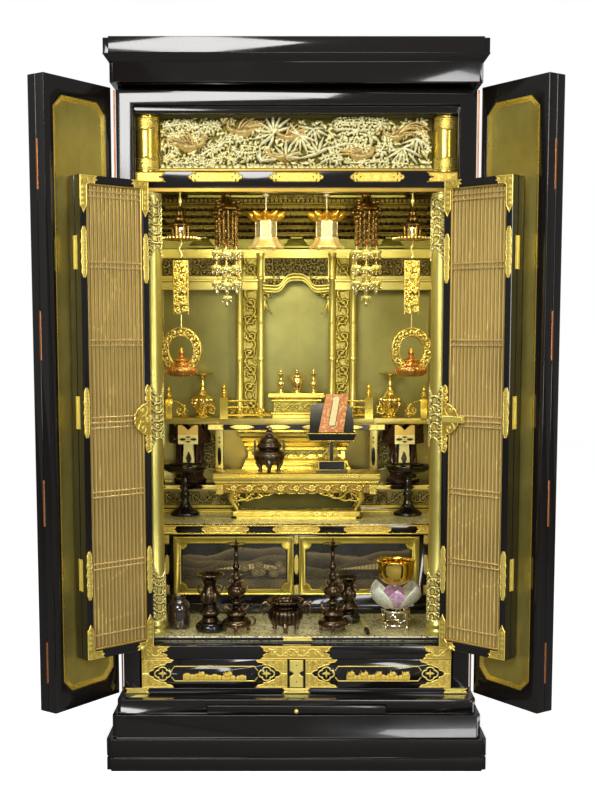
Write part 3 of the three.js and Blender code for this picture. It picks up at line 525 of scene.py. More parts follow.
def worked_gold(name, dark, mid, bright, metallic, rough, scale=240.0, relief=0.5, depth=0.0006):
    """Engraved or carved gold: painted shade in the sunk places, a painted highlight on the high ones, finely punched
    all over.
    """
    material, tree, shader = new_material(name)
    colour, grain, place = metal_tone(tree, dark, mid, bright, scale)
    tree.links.new(colour, shader.inputs["Base Color"])
    shader.inputs["Metallic"].default_value = metallic
    rub = place_group(tree, rubbed, {"Place": place, "Low": rough - 0.08, "High": rough + 0.1, "Scale": 30.0})
    tree.links.new(rub.outputs["Roughness"], shader.inputs["Roughness"])
    bump = shader_node(tree, "Bump", {"Height": grain, "Strength": relief, "Distance": depth})
    tree.links.new(bump.outputs["Normal"], shader.inputs["Normal"])
    return material


plate_gold = worked_gold("engraved_plate", (0.2, 0.1, 0.0124), (0.78, 0.54, 0.0868), (1.0, 0.84, 0.2232),
                         0.75, 0.36, 520.0)


def plate_height(outline, thick, engraving=None, holes=()):
    """A sawn plate: full thickness a little inside its outline, a raised rim, lower where the scrolls are cut."""
    def height(A, B):
        edge = inside_outline(A, B, outline)
        H = np.clip(edge + 0.3, 0, 0.9) / 0.9 * thick
        if engraving is not None:
            lines = balls(engraving, A, B)
            H = H * np.where(edge > 1.6, 0.38 + 0.62 * np.clip(lines / max(lines.max(), 1e-6), 0, 1), 1)
        for a, b, r in holes:
            H = np.where(np.hypot(A - a, B - b) < r, 0, H)
        return np.where(edge > -0.3, H, 0)
    return height


def swallow_plate(length, wide, left=True, right=True, cut=0.6):
    """Outline of a rail plate whose ends are cut back like a swallow's tail with two small teeth."""
    L, w = length / 2, wide / 2
    end = [(L, w), (L - 0.45 * cut * wide, 0.62 * w), (L - 0.3 * cut * wide, 0.38 * w), (L - cut * wide, 0)]
    tail = end + [(x, -y) for x, y in end[-2::-1]]
    straight = [(L, w), (L, -w)]
    return (tail if right else straight) + [(-x, -y) for x, y in (tail if left else straight)]


def pin_plate(x, y, z, outline, size, engraving=None, holes=(), along=(1, 0, 0), across=(0, 0, 1),
              outward=(0, -1, 0),
              thick=1.3, step=0.9):
    """A sawn and engraved plate laid on a face at (x, y, z)."""
    (a, b) = size
    if np.dot(np.cross(along, across), outward) < 0:
        outline = [(-p, q) for p, q in outline]
        engraving = None if engraving is None else engraving * np.array([-1, 1, 1, 1])
        holes = [(-p, q, r) for p, q, r in holes]
        along = tuple(-v for v in along)
    return board(((x, y, z), along, across, outward), -a / 2 - 1, a / 2 + 1, -b / 2 - 1, b / 2 + 1, step,
                 plate_height(outline, thick, engraving, holes))


front_y = -280
sill_plates = []
for x, length, left, right in ((0, 172, True, True), (-338, 68, False, True), (338, 68, True, False)):
    sill_plates += pin_plate(x, front_y, 265, swallow_plate(length, 30, left, right), (length, 30),
                             arabesque(-0.38 * length, 0.38 * length, 0, 16, 1, int(length)),
                             [(s * (length / 2 - 18), 0, 2.2) for s,
                              there in ((-1, left), (1, right)) if there])
for x, length in ((-383, 58), (0, 66), (383, 58)):
    sill_plates += pin_plate(x, front_y, 171.4, swallow_plate(length, 12), (length, 12), None,
                             [(-0.3 * length, 0, 1.1), (0.3 * length, 0, 1.1)])
sill_plates += pin_plate(3, -249.3, 291, swallow_plate(74, 9.5), (74, 10), None, [(-28, 0, 1), (28, 0, 1)])
build("sill_rail_plates", sill_plates, plate_gold, "gilt_fittings", closed=False)

# Drawer fronts: scalloped corner plates, a pierced four-lobed pull at each end and a thin gold line round a small
# sprinkled-gold picture of waterside plants.


def cloud_corner():
    """Outline of a corner plate: square outside, running to a point along the edge, scalloped round the pull."""
    return [(0, 0), (76, 0), (71, 6), (60, 8), (56, 13), (47, 13.5), (40, 17), (31, 20), (28, 26), (20, 28),
            (15, 34.4),
            (0, 34.4)]


def lobed(size, lobes=4, depth=0.2, turn=0.0, flat=1.0, count=48):
    w = np.linspace(0, 2 * np.pi, count, endpoint=False)
    r = size * (1 - depth + depth * np.abs(np.cos(0.5 * lobes * (w - turn))) ** 0.7)
    return np.column_stack([r * np.cos(w), flat * r * np.sin(w)])


def inked_line(outline, width, thick):
    """A thin raised gold line along a closed outline."""
    def height(A, B):
        return np.where(np.abs(inside_outline(A, B, outline)) < width / 2, thick, 0)
    return height


def painted_relief_shading(reach, gain=1.0):
    """Painted light and shade on carving: a painted highlight where it stands above what is round it within reach,
    painted shade in the hollows.
    """
    def tone(A, B, H):
        n = max(1, int(round(reach / (A[1, 0] - A[0, 0]))))
        soft = H
        for axis in (0, 1):
            ends = [(n + 1, n) if k == axis else (0, 0) for k in (0, 1)]
            total = np.cumsum(np.pad(soft, ends, mode="edge"), axis)
            count = soft.shape[axis]
            high = np.take(total, np.arange(2 * n + 1, 2 * n + 1 + count), axis)
            soft = (high - np.take(total, np.arange(count), axis)) / (2 * n + 1)
        return np.clip(0.5 + gain * (H - soft) / reach, 0, 1)
    return tone


def gold_plants(half, low, seed):
    """Sprinkled-gold picture: low round banks of uneven size, with leaf sprays and fans rising from some of them."""
    rng = np.random.default_rng(abs(int(seed)))
    rows = []
    for n, x in enumerate(np.linspace(-half, half, 5)):
        r = 8 + 6 * rng.random()
        rows += [[[x + k * r, low + 1, r * (1 - 0.25 * abs(k)), 0.5]] for k in (-0.9, 0, 0.9)]
        if n % 2 or rng.random() < 0.4:
            rows += [leaf(x, low + 7, 9 + 6 * rng.random(), w, 3.6, 0.6, 0.1)
                     for w in np.linspace(0.5, 2.6, 6)]
            rows.append(blossom(x + 4, low + 13, 5, 0.6, 6))
    return np.concatenate([np.asarray(r, float) for r in rows])


def foliage_lines(s, t):
    """Scrolls engraved in a corner plate: a running scroll along the edge and two down its end."""
    rows = [arabesque(2, 66, 7, 9, 1, 7)] + [curl(9, b, 6, 1.0 + b, 1, 1)
                                             for b in (19, 29)] + [curl(22, 17, 5, 2.0, -1, 1)]
    return np.concatenate(rows) * np.array([s, t, 1, 1])


maki_gold = worked_gold("sprinkled_gold", (0.3, 0.13, 0.0186), (0.7, 0.46, 0.0558), (1.0, 0.78, 0.1612), 0.5,
                        0.4, 500.0)
for name, side in (("left", -1), ("right", 1)):
    low, high, inner, outer = 178.5, 248.5, 21, 372.5
    middle_x, middle_z = side * (inner + outer) / 2, (low + high) / 2
    plates = []
    for x, s in ((inner + 1, 1), (outer - 1, -1)):
        for z, t in ((low + 1, 1), (high - 1, -1)):
            outline = [(s * side * a, t * b) for a, b in cloud_corner()]
            plates += board(((side * x, front_y, z), (1, 0, 0), (0, 0, 1), (0, -1, 0)), -78, 78, -36, 36, 0.9,
                            plate_height(outline, 0.9, foliage_lines(s * side, t)))
        centre = (side * (x + s * 50), front_y - 1.6, middle_z)
        rim = lobed(19, 4, 0.28, 0.0, 0.86)
        core = [stroke([(0, 0), (4 * k, 5), (9 * k, 0)], 1.6, 0.9, 1.2) for k in (-1, 1)]
        core += [leaf(0, 0, 10, a, 4.5, 1.2, 0) for a in (0.5 * np.pi, -0.5 * np.pi, 0, np.pi)]
        core = np.concatenate(core)
        plates += board((centre, (1, 0, 0), (0, 0, 1), (0, -1, 0)), -21, 21, -19, 19, 0.6,
                        lambda A, B: np.maximum(np.where(np.abs(inside_outline(A, B, rim)) < 1.3, 0.35, 0),
                                                balls(core, A, B) * 0.3), least=0.05)
    line = [(s * a, b) for s,
            ends in ((1, ((96, 18), (105, 6), (105, -6), (96, -18))),
                     (-1, ((96, -18), (105, -6), (105, 6), (96, 18))))
            for a, b in ends]
    plates += board(((middle_x, front_y, middle_z), (1, 0, 0), (0, 0, 1), (0, -1, 0)), -108, 108, -20, 20,
                    0.7,
                    inked_line(line, 2.2, 0.9))
    build(f"drawer_plates_{name}", plates, plate_gold, "gilt_fittings", f"drawer_{name}", closed=False)
    # The picture's tone is painted light: painted highlights on the raised banks and leaves, painted shade round them.
    picture = board(((middle_x, front_y, middle_z), (1, 0, 0), (0, 0, 1), (0, -1, 0)), -76, 76, -15, 15, 0.8,
                    lambda A, B, s=side: balls(gold_plants(66, -13, 5 + s), A, B), tone=painted_relief_shading(3, 16),
                    least=0.05)
    build(f"drawer_picture_{name}", picture, maki_gold, "gilt_fittings", f"drawer_{name}", closed=False)

capsule = [(-16, 33), (16, 33), (16, 7), (10, 4), (6, 0), (10, -4), (16, -7), (16, -33), (-16, -33),
           (-16, -7), (-10, -4),
           (-6, 0), (-10, 4), (-16, 7)]
build("drawer_post_plate",
      pin_plate(0, front_y, 213.5, capsule, (32, 66), None, [(0, 20, 1.6), (0, -20, 1.6)]),
      plate_gold, "gilt_fittings", closed=False)

# Outer leaves: thick black frames round a sunk panel in matt gold leaf, with a bevelled gilt moulding whose corners
# are cut off. Two leaves on each side are hinged edge to edge with narrow copper-coloured hinges.


def leaf_place(side, pin_x, pin_y, turn):
    """Pin, direction towards the free edge and direction that is inward when the leaf is shut, all at rest."""
    angle = side * math.radians(turn)
    along = np.array([-side * math.cos(angle), -side * math.sin(angle), 0])
    return np.array([side * pin_x, pin_y, 0.0]), along, np.array([-math.sin(angle), math.cos(angle), 0])


def ring(frame_of, outer, inner, profile):
    """A moulding round an opening: the profile's (share, height) steps go from the outer outline to the inner one."""
    origin, along, across, outward = (np.asarray(v, float) for v in frame_of)
    outer, inner = np.asarray(outer, float), np.asarray(inner, float)
    share, height = np.asarray(profile, float).T
    flat = outer[:, None] + share[None, :, None] * (inner - outer)[:, None]
    points = origin + flat[..., :1] * along + flat[..., 1:] * across + height[None, :, None] * outward
    return sheet(points, True, False)


def cut_corners(u0, u1, z0, z1, c):
    return np.array([(u0 + c, z0), (u1 - c, z0), (u1, z0 + c), (u1, z1 - c), (u1 - c, z1), (u0 + c, z1),
                     (u0, z1 - c),
                     (u0, z0 + c)])


def leaf_gold(name, light, deep, rough):
    """Matt gold leaf: soft clouding and the faint squares where the leaves overlap, metallic but dull."""
    material, tree, shader = new_material(name)
    place = object_place(tree)
    cloud = shader_node(tree, "TexNoise", {"Vector": place, "Scale": 7.0, "Detail": 5.0, "Roughness": 0.6})
    laps = shader_node(tree, "TexBrick",
                       {"Vector": place, "Scale": 9.0, "Mortar Size": 0.012, "Color1": (1, 1, 1, 1),
                                          "Color2": (0.94, 0.94, 0.94, 1), "Mortar": (0.85, 0.85, 0.85, 1)})
    base = ramp(tree, cloud.outputs["Fac"], (0.3, deep), (0.7, light))
    toned = shader_node(tree, "Mix", {"Factor": 0.35, "A": base, "B": laps.outputs["Color"]},
                        data_type="RGBA",
                        blend_type="MULTIPLY")
    tree.links.new(toned.outputs["Result"], shader.inputs["Base Color"])
    shader.inputs["Metallic"].default_value = 0.82
    rub = place_group(tree, rubbed,
                      {"Place": place, "Low": rough - 0.06, "High": rough + 0.08, "Scale": 12.0})
    tree.links.new(rub.outputs["Roughness"], shader.inputs["Roughness"])
    grain = shader_node(tree, "TexNoise", {"Vector": place, "Scale": 260.0, "Detail": 2.0})
    bump = shader_node(tree, "Bump", {"Height": grain.outputs["Fac"], "Strength": 0.25, "Distance": 0.0005})
    tree.links.new(bump.outputs["Normal"], shader.inputs["Normal"])
    return material


door_leaf_gold = leaf_gold("door_gold_leaf", (0.64, 0.54, 0.14), (0.44, 0.36, 0.08), 0.42)
bright_leaf = leaf_gold("burnished_gold_leaf", (0.95, 0.72, 0.124), (0.8, 0.56, 0.0806), 0.24)
copper = worked_gold("hinge_copper", (0.16, 0.05, 0.0186), (0.4, 0.13, 0.0434), (0.55, 0.22, 0.0806), 0.8,
                     0.35)
outer_u, outer_z = (20, 183), (210, 1547)
for name, side in (("left", -1), ("right", 1)):
    pin, along, inward = leaf_place(side, 424.7, -282, 125)
    for body, face, way in ((f"outer_door_{name}", 0, 1), (f"outer_fold_{name}", -49, -1)):
        eased(body, body_black, 1.6, "lacquer_doors", 3, body)
        place = (pin + (face - 6.7 * way) * inward, along, (0, 0, 1), way * inward)
        outline = cut_corners(*outer_u, *outer_z, 26)
        middle = outline.mean(0)
        steps = [cut_corners(outer_u[0] + c, outer_u[1] - c, outer_z[0] + c, outer_z[1] - c, 26 - 0.4 * c)
                 for c in (0.4, 11)]
        frame_ring = ring(place, steps[0], steps[1],
                          [(0, 0), (0, 6.2), (0.12, 6.6), (0.3, 6.0), (0.85, 1.6), (1, 1.2)])
        build(f"{body}_gilt_moulding", [frame_ring], bright_leaf, "gold_leaf", body)
        panel = ring(place, steps[1], np.broadcast_to(middle, steps[1].shape),
                     [(0, 1.2), (0.02, 0.8), (1, 0.8)])
        build(f"{body}_gilt_panel", [panel], door_leaf_gold, "gold_leaf", body)
    strips = []
    for z0, z1 in ((236, 330), (596, 700), (968, 1076), (1340, 1448)):
        place = (pin + 209.2 * along - 24.5 * inward, (0, 0, 1), inward, along)
        strips += board(place, z0, z1, -4, 4, 2, lambda A, B: 1.9 * (np.abs(B) < 3.9))
    build(f"outer_fold_hinges_{name}", strips, copper, "bronze", f"outer_door_{name}", closed=False)


def rod(points, radius, sides=10, loop=False, up=(0, 0, 1)):
    """A round bar along a line of points, in millimetres; the radius may change along it."""
    points = np.asarray(points, float)
    radius = np.broadcast_to(np.asarray(radius, float), (len(points),))
    ahead = np.roll(points, -1, 0) - np.roll(points, 1, 0) if loop else np.gradient(points, axis=0)
    ahead /= np.linalg.norm(ahead, axis=1, keepdims=True) + 1e-12
    side = np.cross(ahead, np.asarray(up, float))
    side /= np.linalg.norm(side, axis=1, keepdims=True) + 1e-12
    third = np.cross(ahead, side)
    w = np.arange(sides) * 2 * np.pi / sides
    skin = points[:, None] + radius[:, None,
                                    None] * (np.cos(w)[:, None] * side[:, None] + np.sin(w)[:, None]
                                             * third[:, None])
    if not loop:
        skin = np.concatenate([np.broadcast_to(points[:1, None], (1, sides, 3)), skin,
                               np.broadcast_to(points[-1:, None], (1, sides, 3))])
    return sheet(skin, loop, True)


hinge_lines = [rod([(s * 418.3, -279, z) for z in (172, 600, 1100, 1582)], 2.1, 8, up=(1, 0, 0))
               for s in (-1, 1)]
build("outer_hinge_lines", hinge_lines, copper, "bronze")

# Tray in the plinth: drawn out by one small turned brass knob.
knob_line = [(0, y, 141) for y in (-338, -341, -343, -347, -350, -351)]
build("tray_knob", [rod(knob_line, [3, 2.4, 4.6, 5.6, 4, 1], 16)], plate_gold, "gilt_fittings", "tray")

# Inner leaves: slender lacquered frames round a gauze panel, fine upright bars in front of the gauze crossed by
# pairs of thin rails. Gilt plates cover the corners and the middles of the stiles, half a medallion the free edge.


def stick(origin, along, across, outward, size, ease=0.7):
    """A straight bar of rectangular section with eased edges; size is (length, width, depth) from the origin."""
    length, width, depth = size
    w, d = width / 2, depth
    section = np.array([(-w + ease, 0), (w - ease, 0), (w, ease), (w, d - ease), (w - ease, d),
                        (-w + ease, d),
                        (-w, d - ease), (-w, ease)])
    origin, along, across, outward = (np.asarray(v, float) for v in (origin, along, across, outward))
    ring_points = section[:, :1] * across + section[:, 1:] * outward
    middle = ring_points.mean(0)
    runs = [origin + middle + 0 * ring_points, origin + ring_points, origin + ring_points + length * along,
            origin + middle + length * along + 0 * ring_points]
    return sheet(np.stack(runs), False, True)


def gauze_material():
    """Brown-gold woven gauze: a fine weave with a faint wandering vine in paler gold."""
    material, tree, shader = new_material("gauze")
    place = object_place(tree)
    weave = shader_node(tree, "TexWave", {"Vector": place, "Scale": 420.0, "Distortion": 0.4},
                        bands_direction="Z")
    bent = shader_node(tree, "TexNoise", {"Vector": place, "Scale": 9.0, "Detail": 1.0})
    vine = shader_node(tree, "TexVoronoi", {"Vector": place, "Scale": 11.0, "Randomness": 1.0},
                       feature="DISTANCE_TO_EDGE")
    thin = shader_node(tree, "MapRange",
                       {"Value": vine.outputs["Distance"], "From Min": 0.0, "From Max": 0.045,
                                          "To Min": 1.0, "To Max": 0.0})
    part = shader_node(tree, "MapRange", {"Value": bent.outputs["Fac"], "From Min": 0.5, "From Max": 0.6})
    drawn = shader_node(tree, "Math", {0: thin.outputs["Result"], 1: part.outputs["Result"]},
                        operation="MULTIPLY")
    ground = ramp(tree, weave.outputs["Fac"], (0.0, (0.6, 0.48, 0.2)), (1.0, (0.8, 0.66, 0.3)))
    cloth = shader_node(tree, "Mix",
                        {"Factor": drawn.outputs["Value"], "A": ground, "B": (1.0, 0.86, 0.36, 1)},
                        data_type="RGBA")
    tree.links.new(cloth.outputs["Result"], shader.inputs["Base Color"])
    shader.inputs["Roughness"].default_value = 0.62
    shader.inputs["Metallic"].default_value = 0.1
    shader.inputs["Sheen Weight"].default_value = 0.3
    bump = shader_node(tree, "Bump", {"Height": weave.outputs["Fac"], "Strength": 0.3, "Distance": 0.0004})
    tree.links.new(bump.outputs["Normal"], shader.inputs["Normal"])
    return material


gauze = gauze_material()
bar_gold = leaf_gold("lattice_gold", (0.62, 0.45, 0.13), (0.46, 0.32, 0.08), 0.42)
rail_gold = leaf_gold("lattice_rail_gold", (0.95, 0.76, 0.34), (0.8, 0.6, 0.24), 0.36)
inner = {"width": 184, "thick": 22, "low": 285, "high": 1374, "stile": 17, "bars": 13}
lattice_rails = (1341, 1329, 1186, 1174, 1012, 1000, 838, 826, 814, 668, 656, 503, 491, 338)


def half_medallion():
    """Outline of half a lobed medallion with a pointed tongue above and below, flat along the leaf's free edge."""
    t = np.linspace(0, 1, 37)
    z = 38 * (1 - 2 * t)
    bulge = 26 + 20 * np.sin(np.pi * t) ** 0.8 + 2.2 * np.abs(np.sin(7 * np.pi * t)) - 14 * (1
            - np.sin(np.pi * t)) ** 2
    tongue = [(0, 75), (5, 77), (9, 80), (13, 76), (16, 66), (16, 60), (13, 56), (16, 52), (17, 44)]
    return tongue + list(zip(bulge, z)) + [(a, -b) for a, b in tongue[::-1]]


for name, side in (("left", -1), ("right", 1)):
    pin, along, inward = leaf_place(side, 369, -274, 138)
    up = np.array([0, 0, 1.0])
    for body, face, way in ((f"inner_door_{name}", 0, -1), (f"inner_fold_{name}", 46, 1)):
        out = way * inward
        base = pin + (face - way * inner["thick"]) * inward
        u0, u1, z0, z1, s = 0.6, inner["width"] - 0.6, inner["low"], inner["high"], inner["stile"]
        outer_line = [(u0, z0), (u1, z0), (u1, z1), (u0, z1)]
        inner_line = [(u0 + s, z0 + s + 3), (u1 - s, z0 + s + 3), (u1 - s, z1 - s), (u0 + s, z1 - s)]
        t = inner["thick"]
        section = [(0.05, 0), (0, 0.8), (0, t - 1), (0.05, t), (0.9, t), (1, t - 1.2), (1, 0.8), (0.95, 0),
                   (0.05, 0)]
        leaf_frame = ring((base, along, up, out), outer_line, inner_line, section)
        build(f"{body}_frame", [leaf_frame], body_black, "lacquer_doors", body, replaces=(body,))
        a0, a1, b0, b1 = u0 + s, u1 - s, z0 + s + 3, z1 - s
        cloth_outline = [(a0 - 1, b0 - 1), (a1 + 1, b0 - 1), (a1 + 1, b1 + 1), (a0 - 1, b1 + 1)]
        middle = [((a0 + a1) / 2, (b0 + b1) / 2)] * 4
        cloth = [ring((base, along, up, out), cloth_outline, middle, [(0, 10), (1, 10)]),
                 ring((base, along, up, out), cloth_outline, middle, [(0, 9), (1, 9)])]
        build(f"{body}_gauze", cloth, gauze, "gauze_lattice", body)
        bars = []
        pitch = (a1 - a0 - 8) / (inner["bars"] + 1)
        for k in range(1, inner["bars"] + 1):
            bars.append(stick(base + (a0 + 4 + k * pitch) * along + b0 * up + 10.5 * out, up, along, out,
                              (b1 - b0, 3.2, 6), 0.5))
        rails = [stick(base + a0 * along + z * up + 12.5 * out, along, up, out, (a1 - a0, 3.4, 5.4), 0.7)
                 for z in lattice_rails]
        build(f"{body}_lattice_rails", rails, rail_gold, "gauze_lattice", body)
        beads = [((a0 + 2.2) * along + b0 * up, up, along, b1 - b0),
                 ((a1 - 2.2) * along + b0 * up, up, along, b1 - b0),
                 (a0 * along + (b0 + 2.2) * up, along, up, a1 - a0),
                 (a0 * along + (b1 - 2.2) * up, along, up, a1 - a0)]
        bars += [stick(base + at + 10.2 * out, run, over, out, (length, 4.4, 10.5), 1.2) for at, run, over,
                 length in beads]
        build(f"{body}_lattice", bars, bar_gold, "gauze_lattice", body)
        face_at = base + t * out
        plates = []
        w, sign = inner["width"], 1

        def on_leaf(u, z, outline, size, engraving=None, holes=(), thick=1.2):
            return pin_plate(*(face_at + u * along + z * up), outline, size, engraving, holes, tuple(along),
                             tuple(up),
                             tuple(out), thick)

        arm = 17.5
        for u, a in ((0.8, 1), (w - 0.8, -1)):
            for z, b in ((z0 + 0.4, 1), (z1 - 0.4, -1)):
                corner = [(0, 0), (46, 0), (40, 6), (46, arm / 2), (38, arm - 4), (40, arm), (22, arm),
                          (arm, 22),
                          (arm, 66), (arm - 4, 72), (arm / 2, 82), (4, 72), (0, 66)]
                plates += on_leaf(u, z, [(a * p, b * q) for p, q in corner], (96, 168),
                                  np.concatenate([arabesque(-44, 44, b * 8, 9, 1, 11),
                                                  [[a * 8, b * q, 5, 1] for q in (26, 38, 50, 62)]]))
        for u, heights in ((w - 9.2, (1206, 850, 480)), (9.2, (1198, 474))):
            for z in heights:
                wave = np.linspace(-1, 1, 21)
                half = 8.2 * (0.45 + 0.55 * (1 - np.abs(wave) ** 6)) * (1 - 0.22
                        * np.abs(np.sin(2.5 * np.pi * wave)))
                edge = [(h, 56 * v) for h, v in zip(half, wave)]
                plates += on_leaf(u, z, edge + [(-h, v) for h, v in edge[::-1]], (18, 114),
                                  np.array([[0, v, 5, 1] for v in range(-48, 49, 8)]))
        build(f"{body}_plates", plates, plate_gold, "gilt_fittings", body, closed=False)
        if way > 0:
            scrolls = np.concatenate([curl(22, q, 15, 0.5 * q, -1, 1) for q in (-22, 22)] +
                                     [curl(9, q, 8, 2.0, 1, 1) for q in (-64, -48, 0, 48, 64)])
            medal = pin_plate(*(face_at + 0.8 * along + 829.5 * up), half_medallion(), (96, 164), scrolls,
                              [(37, 8, 1.8), (37, -8, 1.8)], tuple(along), tuple(up), tuple(out), 2.2, 0.8)
            build(f"{body}_medallion", medal, plate_gold, "gilt_fittings", body, closed=False)
    for body, start in ((f"inner_door_{name}", 15), (f"inner_fold_{name}", 24.4)):
        edge_plates = [stick(pin + 183.4 * along + (start + 3.6) * inward + (z - 37) * up, up, inward, along,
                             (74, 7.2, 0.5), 0.1)
                       for z in (1206, 850, 480)]
        build(f"{body}_hinge_plates", edge_plates, plate_gold, "gilt_fittings", body)
    knuckles = [rod([pin + 184.4 * along + 23.2 * inward + (z + h) * up for h in (-36, 36)], 0.85, 10,
                    up=(1, 0, 0))
                for z in (1206, 850, 480)]
    build(f"inner_fold_knuckles_{name}", knuckles, plate_gold, "gilt_fittings", f"inner_door_{name}")
    if side > 0:
        at = pin + (face - 0) * inward + 829.5 * up
        latch = [stick(at + 4 * along + 2.3 * inward, along, up, inward, (62, 15, 3.4), 1.2)]
        latch.append(rod([at + u * along + v * inward for u, v in ((58, 5), (58, 8))], 3.2, 12, up=up))
        build("inner_latch_bar", latch, plate_gold, "gilt_fittings", f"inner_fold_{name}")
    knob = rod([pin + 34 * along + v * inward + 290 * up for v in (46, 47, 48, 50, 52, 53)],
               [3, 2.5, 4.5, 6, 4.5, 1], 14, up=(0, 0, 1))
    build(f"inner_leaf_knob_{name}", [knob], plate_gold, "gilt_fittings", f"inner_fold_{name}")

# Gilt lining: the boards of the altar room behind the front frame, its ceiling and the board behind the transom,
# covered with matt gold leaf over lacquer.
lining_gold = leaf_gold("lining_gold_leaf", (0.7, 0.57, 0.16), (0.52, 0.42, 0.1), 0.36)
eased("gilt_lining", lining_gold, 0.6, "gold_leaf")

# Pillars at the mouth of the altar room: turned, covered with gold leaf, with three engraved and pierced sheaths on
# each. The short columns over them are polished, with engraved scalloped collars.


def rounded(profile, rounds=2):
    """A profile of (radius, height) points with its corners cut round; the ends stay where they are."""
    points = np.asarray(profile, float)
    for _ in range(rounds):
        first = 0.75 * points[:-1] + 0.25 * points[1:]
        second = 0.25 * points[:-1] + 0.75 * points[1:]
        points = np.concatenate([points[:1], np.stack([first, second], 1).reshape(-1, 2), points[-1:]])
    return points


def turned(x, y, base, profile, sides=48, rounds=2, petals=0, depth=0.0, flat=1.0):
    """A turned form: the profile of (radius, height) points goes once round the upright axis at x, y. Where petals is
    given, the radius swells and shrinks that often, by depth."""
    line = rounded(profile, rounds) if rounds else np.asarray(profile, float)
    line = np.concatenate([[(0, line[0, 1])], line, [(0, line[-1, 1])]])
    w = np.linspace(0, 2 * np.pi, sides, endpoint=False)
    swell = 1 + (depth * np.cos(petals * w) if petals else 0 * w)
    r = line[:, :1] * swell
    return sheet(np.stack([x + r * np.cos(w), y + flat * r * np.sin(w), base + line[:, 1:] + 0 * r], -1),
                 False, True)


def wrapped(x, y, radius, z0, z1, step, height, tone=None, least=0.02):
    """A thin carved sheath round an upright cylinder: arc length round it and height up it give the relief."""
    half = np.pi * radius
    a = np.linspace(-half, half, int(2 * half / step) + 1)
    b = np.linspace(z0, z1, int((z1 - z0) / step) + 1)
    A, B = np.meshgrid(a, b, indexing="ij")
    H = height(A, B)
    w = A / radius - np.pi / 2
    out_to = radius + np.maximum(H, 0)
    points = np.stack([x + out_to * np.cos(w), y + out_to * np.sin(w), B], -1)
    # With no tone given, the tone is the height: painted shade in the low places, a painted highlight on the high
    # ones.
    shade = H / max(H.max(), 1e-6) if tone is None else tone(A, B, H)
    return sheet(points, tone=shade, keep=H > least)


def sheath(radius, z0, z1, low, high, seed, thick=1.4, relief=2.0, size=17, lobes=4):
    """Height of a sheath of foliage: its ends rise and fall in pointed lobes, each cut out between the tips."""
    half = np.pi * radius
    rows = [arabesque(-half, half, b, size, relief, seed + int(b))
            for b in np.arange(z0 + 0.7 * size, z1 - 0.4 * size, 1.25 * size)]
    rows = np.concatenate(rows)

    def height(A, B):
        wave = np.abs(np.sin(0.5 * lobes * A / radius)) ** 0.75
        edge = np.minimum(B - z0 - low * wave, z1 - high * wave - B)
        rim = np.clip(1 - np.abs(edge - 1.6) / 1.6, 0, 1) * 1.2
        return np.where(edge > 0, np.clip(edge / 1.2, 0, 1) * thick + np.maximum(balls(rows, A, B), rim), 0)
    return height


pillar_gold = leaf_gold("pillar_gold_leaf", (0.8, 0.7, 0.2), (0.66, 0.56, 0.13), 0.34)
sheath_gold = worked_gold("sheath_gold", (0.12, 0.07, 0.009), (0.86, 0.68, 0.15), (1.0, 0.94, 0.42), 0.6,
                          0.34, 420.0)
for name, side in (("left", -1), ("right", 1)):
    x, y = side * 345, -215
    low, high = 297.4, 1357.6
    foot = [(27.6, 0), (27.9, 4), (27.9, 10), (24.5, 15), (27, 20), (27.5, 26), (24, 31)]
    shaft = turned(x, y, low, foot + [(24, high - low)], 56, 1)
    build(f"pillar_{name}", [shaft], pillar_gold, "gold_leaf", replaces=(f"pillar_{name}",))
    # The sheaths' tone is painted light: painted shade in the hollows of the foliage, painted highlights on its raised
    # parts.
    around = [wrapped(x, y, 24, z0, z1, 1.2, sheath(24, z0, z1, a, b, 3, 1.2, 3.0), painted_relief_shading(3.2, 3.2))
              for z0, z1, a, b in ((331, 476, 0, 34), (752, 910, 26, 30), (1194, 1356, 34, 0))]
    build(f"pillar_sheaths_{name}", around, sheath_gold, "gilt_fittings", closed=False)
    x, y = side * 352, -213
    column = [(29.2, 0), (29.2, 5), (27.4, 7), (27.4, 122), (29.2, 124), (29.2, 129)]
    build(f"short_column_{name}", [turned(x, y, 1404, column, 56, 1)], bright_leaf, "gold_leaf",
          replaces=(f"short_column_{name}",))
    # The collars' tone is painted light: painted shade in the hollows, painted highlights on the raised parts.
    collars = [wrapped(x, y, 27.4, z0, z1, 1.1, sheath(27.4, z0, z1, a, b, 5, 0.7, 0.8, 12, 6), painted_relief_shading(2, 2.5))
               for z0, z1, a, b in ((1410, 1440, 0, 5), (1497, 1527, 5, 0))]
    build(f"short_column_collars_{name}", collars, plate_gold, "gilt_fittings", closed=False)

# Transom: a black rail with engraved plates and a brown-gold strip under it, and over it the pierced carving of
# birds among blossom boughs and bamboo above rocks and waves, gilt all over, the birds in a warmer gold.
eased("transom_rail", body_black, 1.2, "lacquer_body", 3)
strip_gold = leaf_gold("strip_gold", (0.5, 0.33, 0.0558), (0.36, 0.22, 0.0372), 0.4)
strip = [stick((-374, -238.6, 1363), (1, 0, 0), (0, 0, 1), (0, -1, 0), (748, 10.4, 1.0), 0.4),
         stick((-321, -232, 1408.5), (1, 0, 0), (0, 0, 1), (0, -1, 0), (642, 8, 5), 2)]
build("transom_strips", strip, strip_gold, "gold_leaf")


def trefoil_plate(length, wide):
    """Outline of a long plate, each end three round lobes: the farthest reach of the body and of three circles."""
    w = wide / 2
    turn = np.linspace(0.5 * np.pi, -0.5 * np.pi, 61)
    c, s = np.cos(turn), np.sin(turn)
    reach = np.minimum(w / np.maximum(np.abs(s), 1e-6), 0.5 * w / np.maximum(c, 1e-6))
    for cx, cy, r in ((0.95 * w, 0.55 * w, 0.44 * w), (0.95 * w, -0.55 * w, 0.44 * w), (1.6 * w, 0, 0.5 * w)):
        ahead = cx * c + cy * s
        inside = r * r - cx * cx - cy * cy + ahead * ahead
        reach = np.maximum(reach, np.where(inside > 0, ahead + np.sqrt(np.clip(inside, 0, None)), 0))
    end = length / 2 - 2.1 * w
    right = list(zip(end + reach * c, reach * s))
    return right + [(-x, -y) for x, y in right]


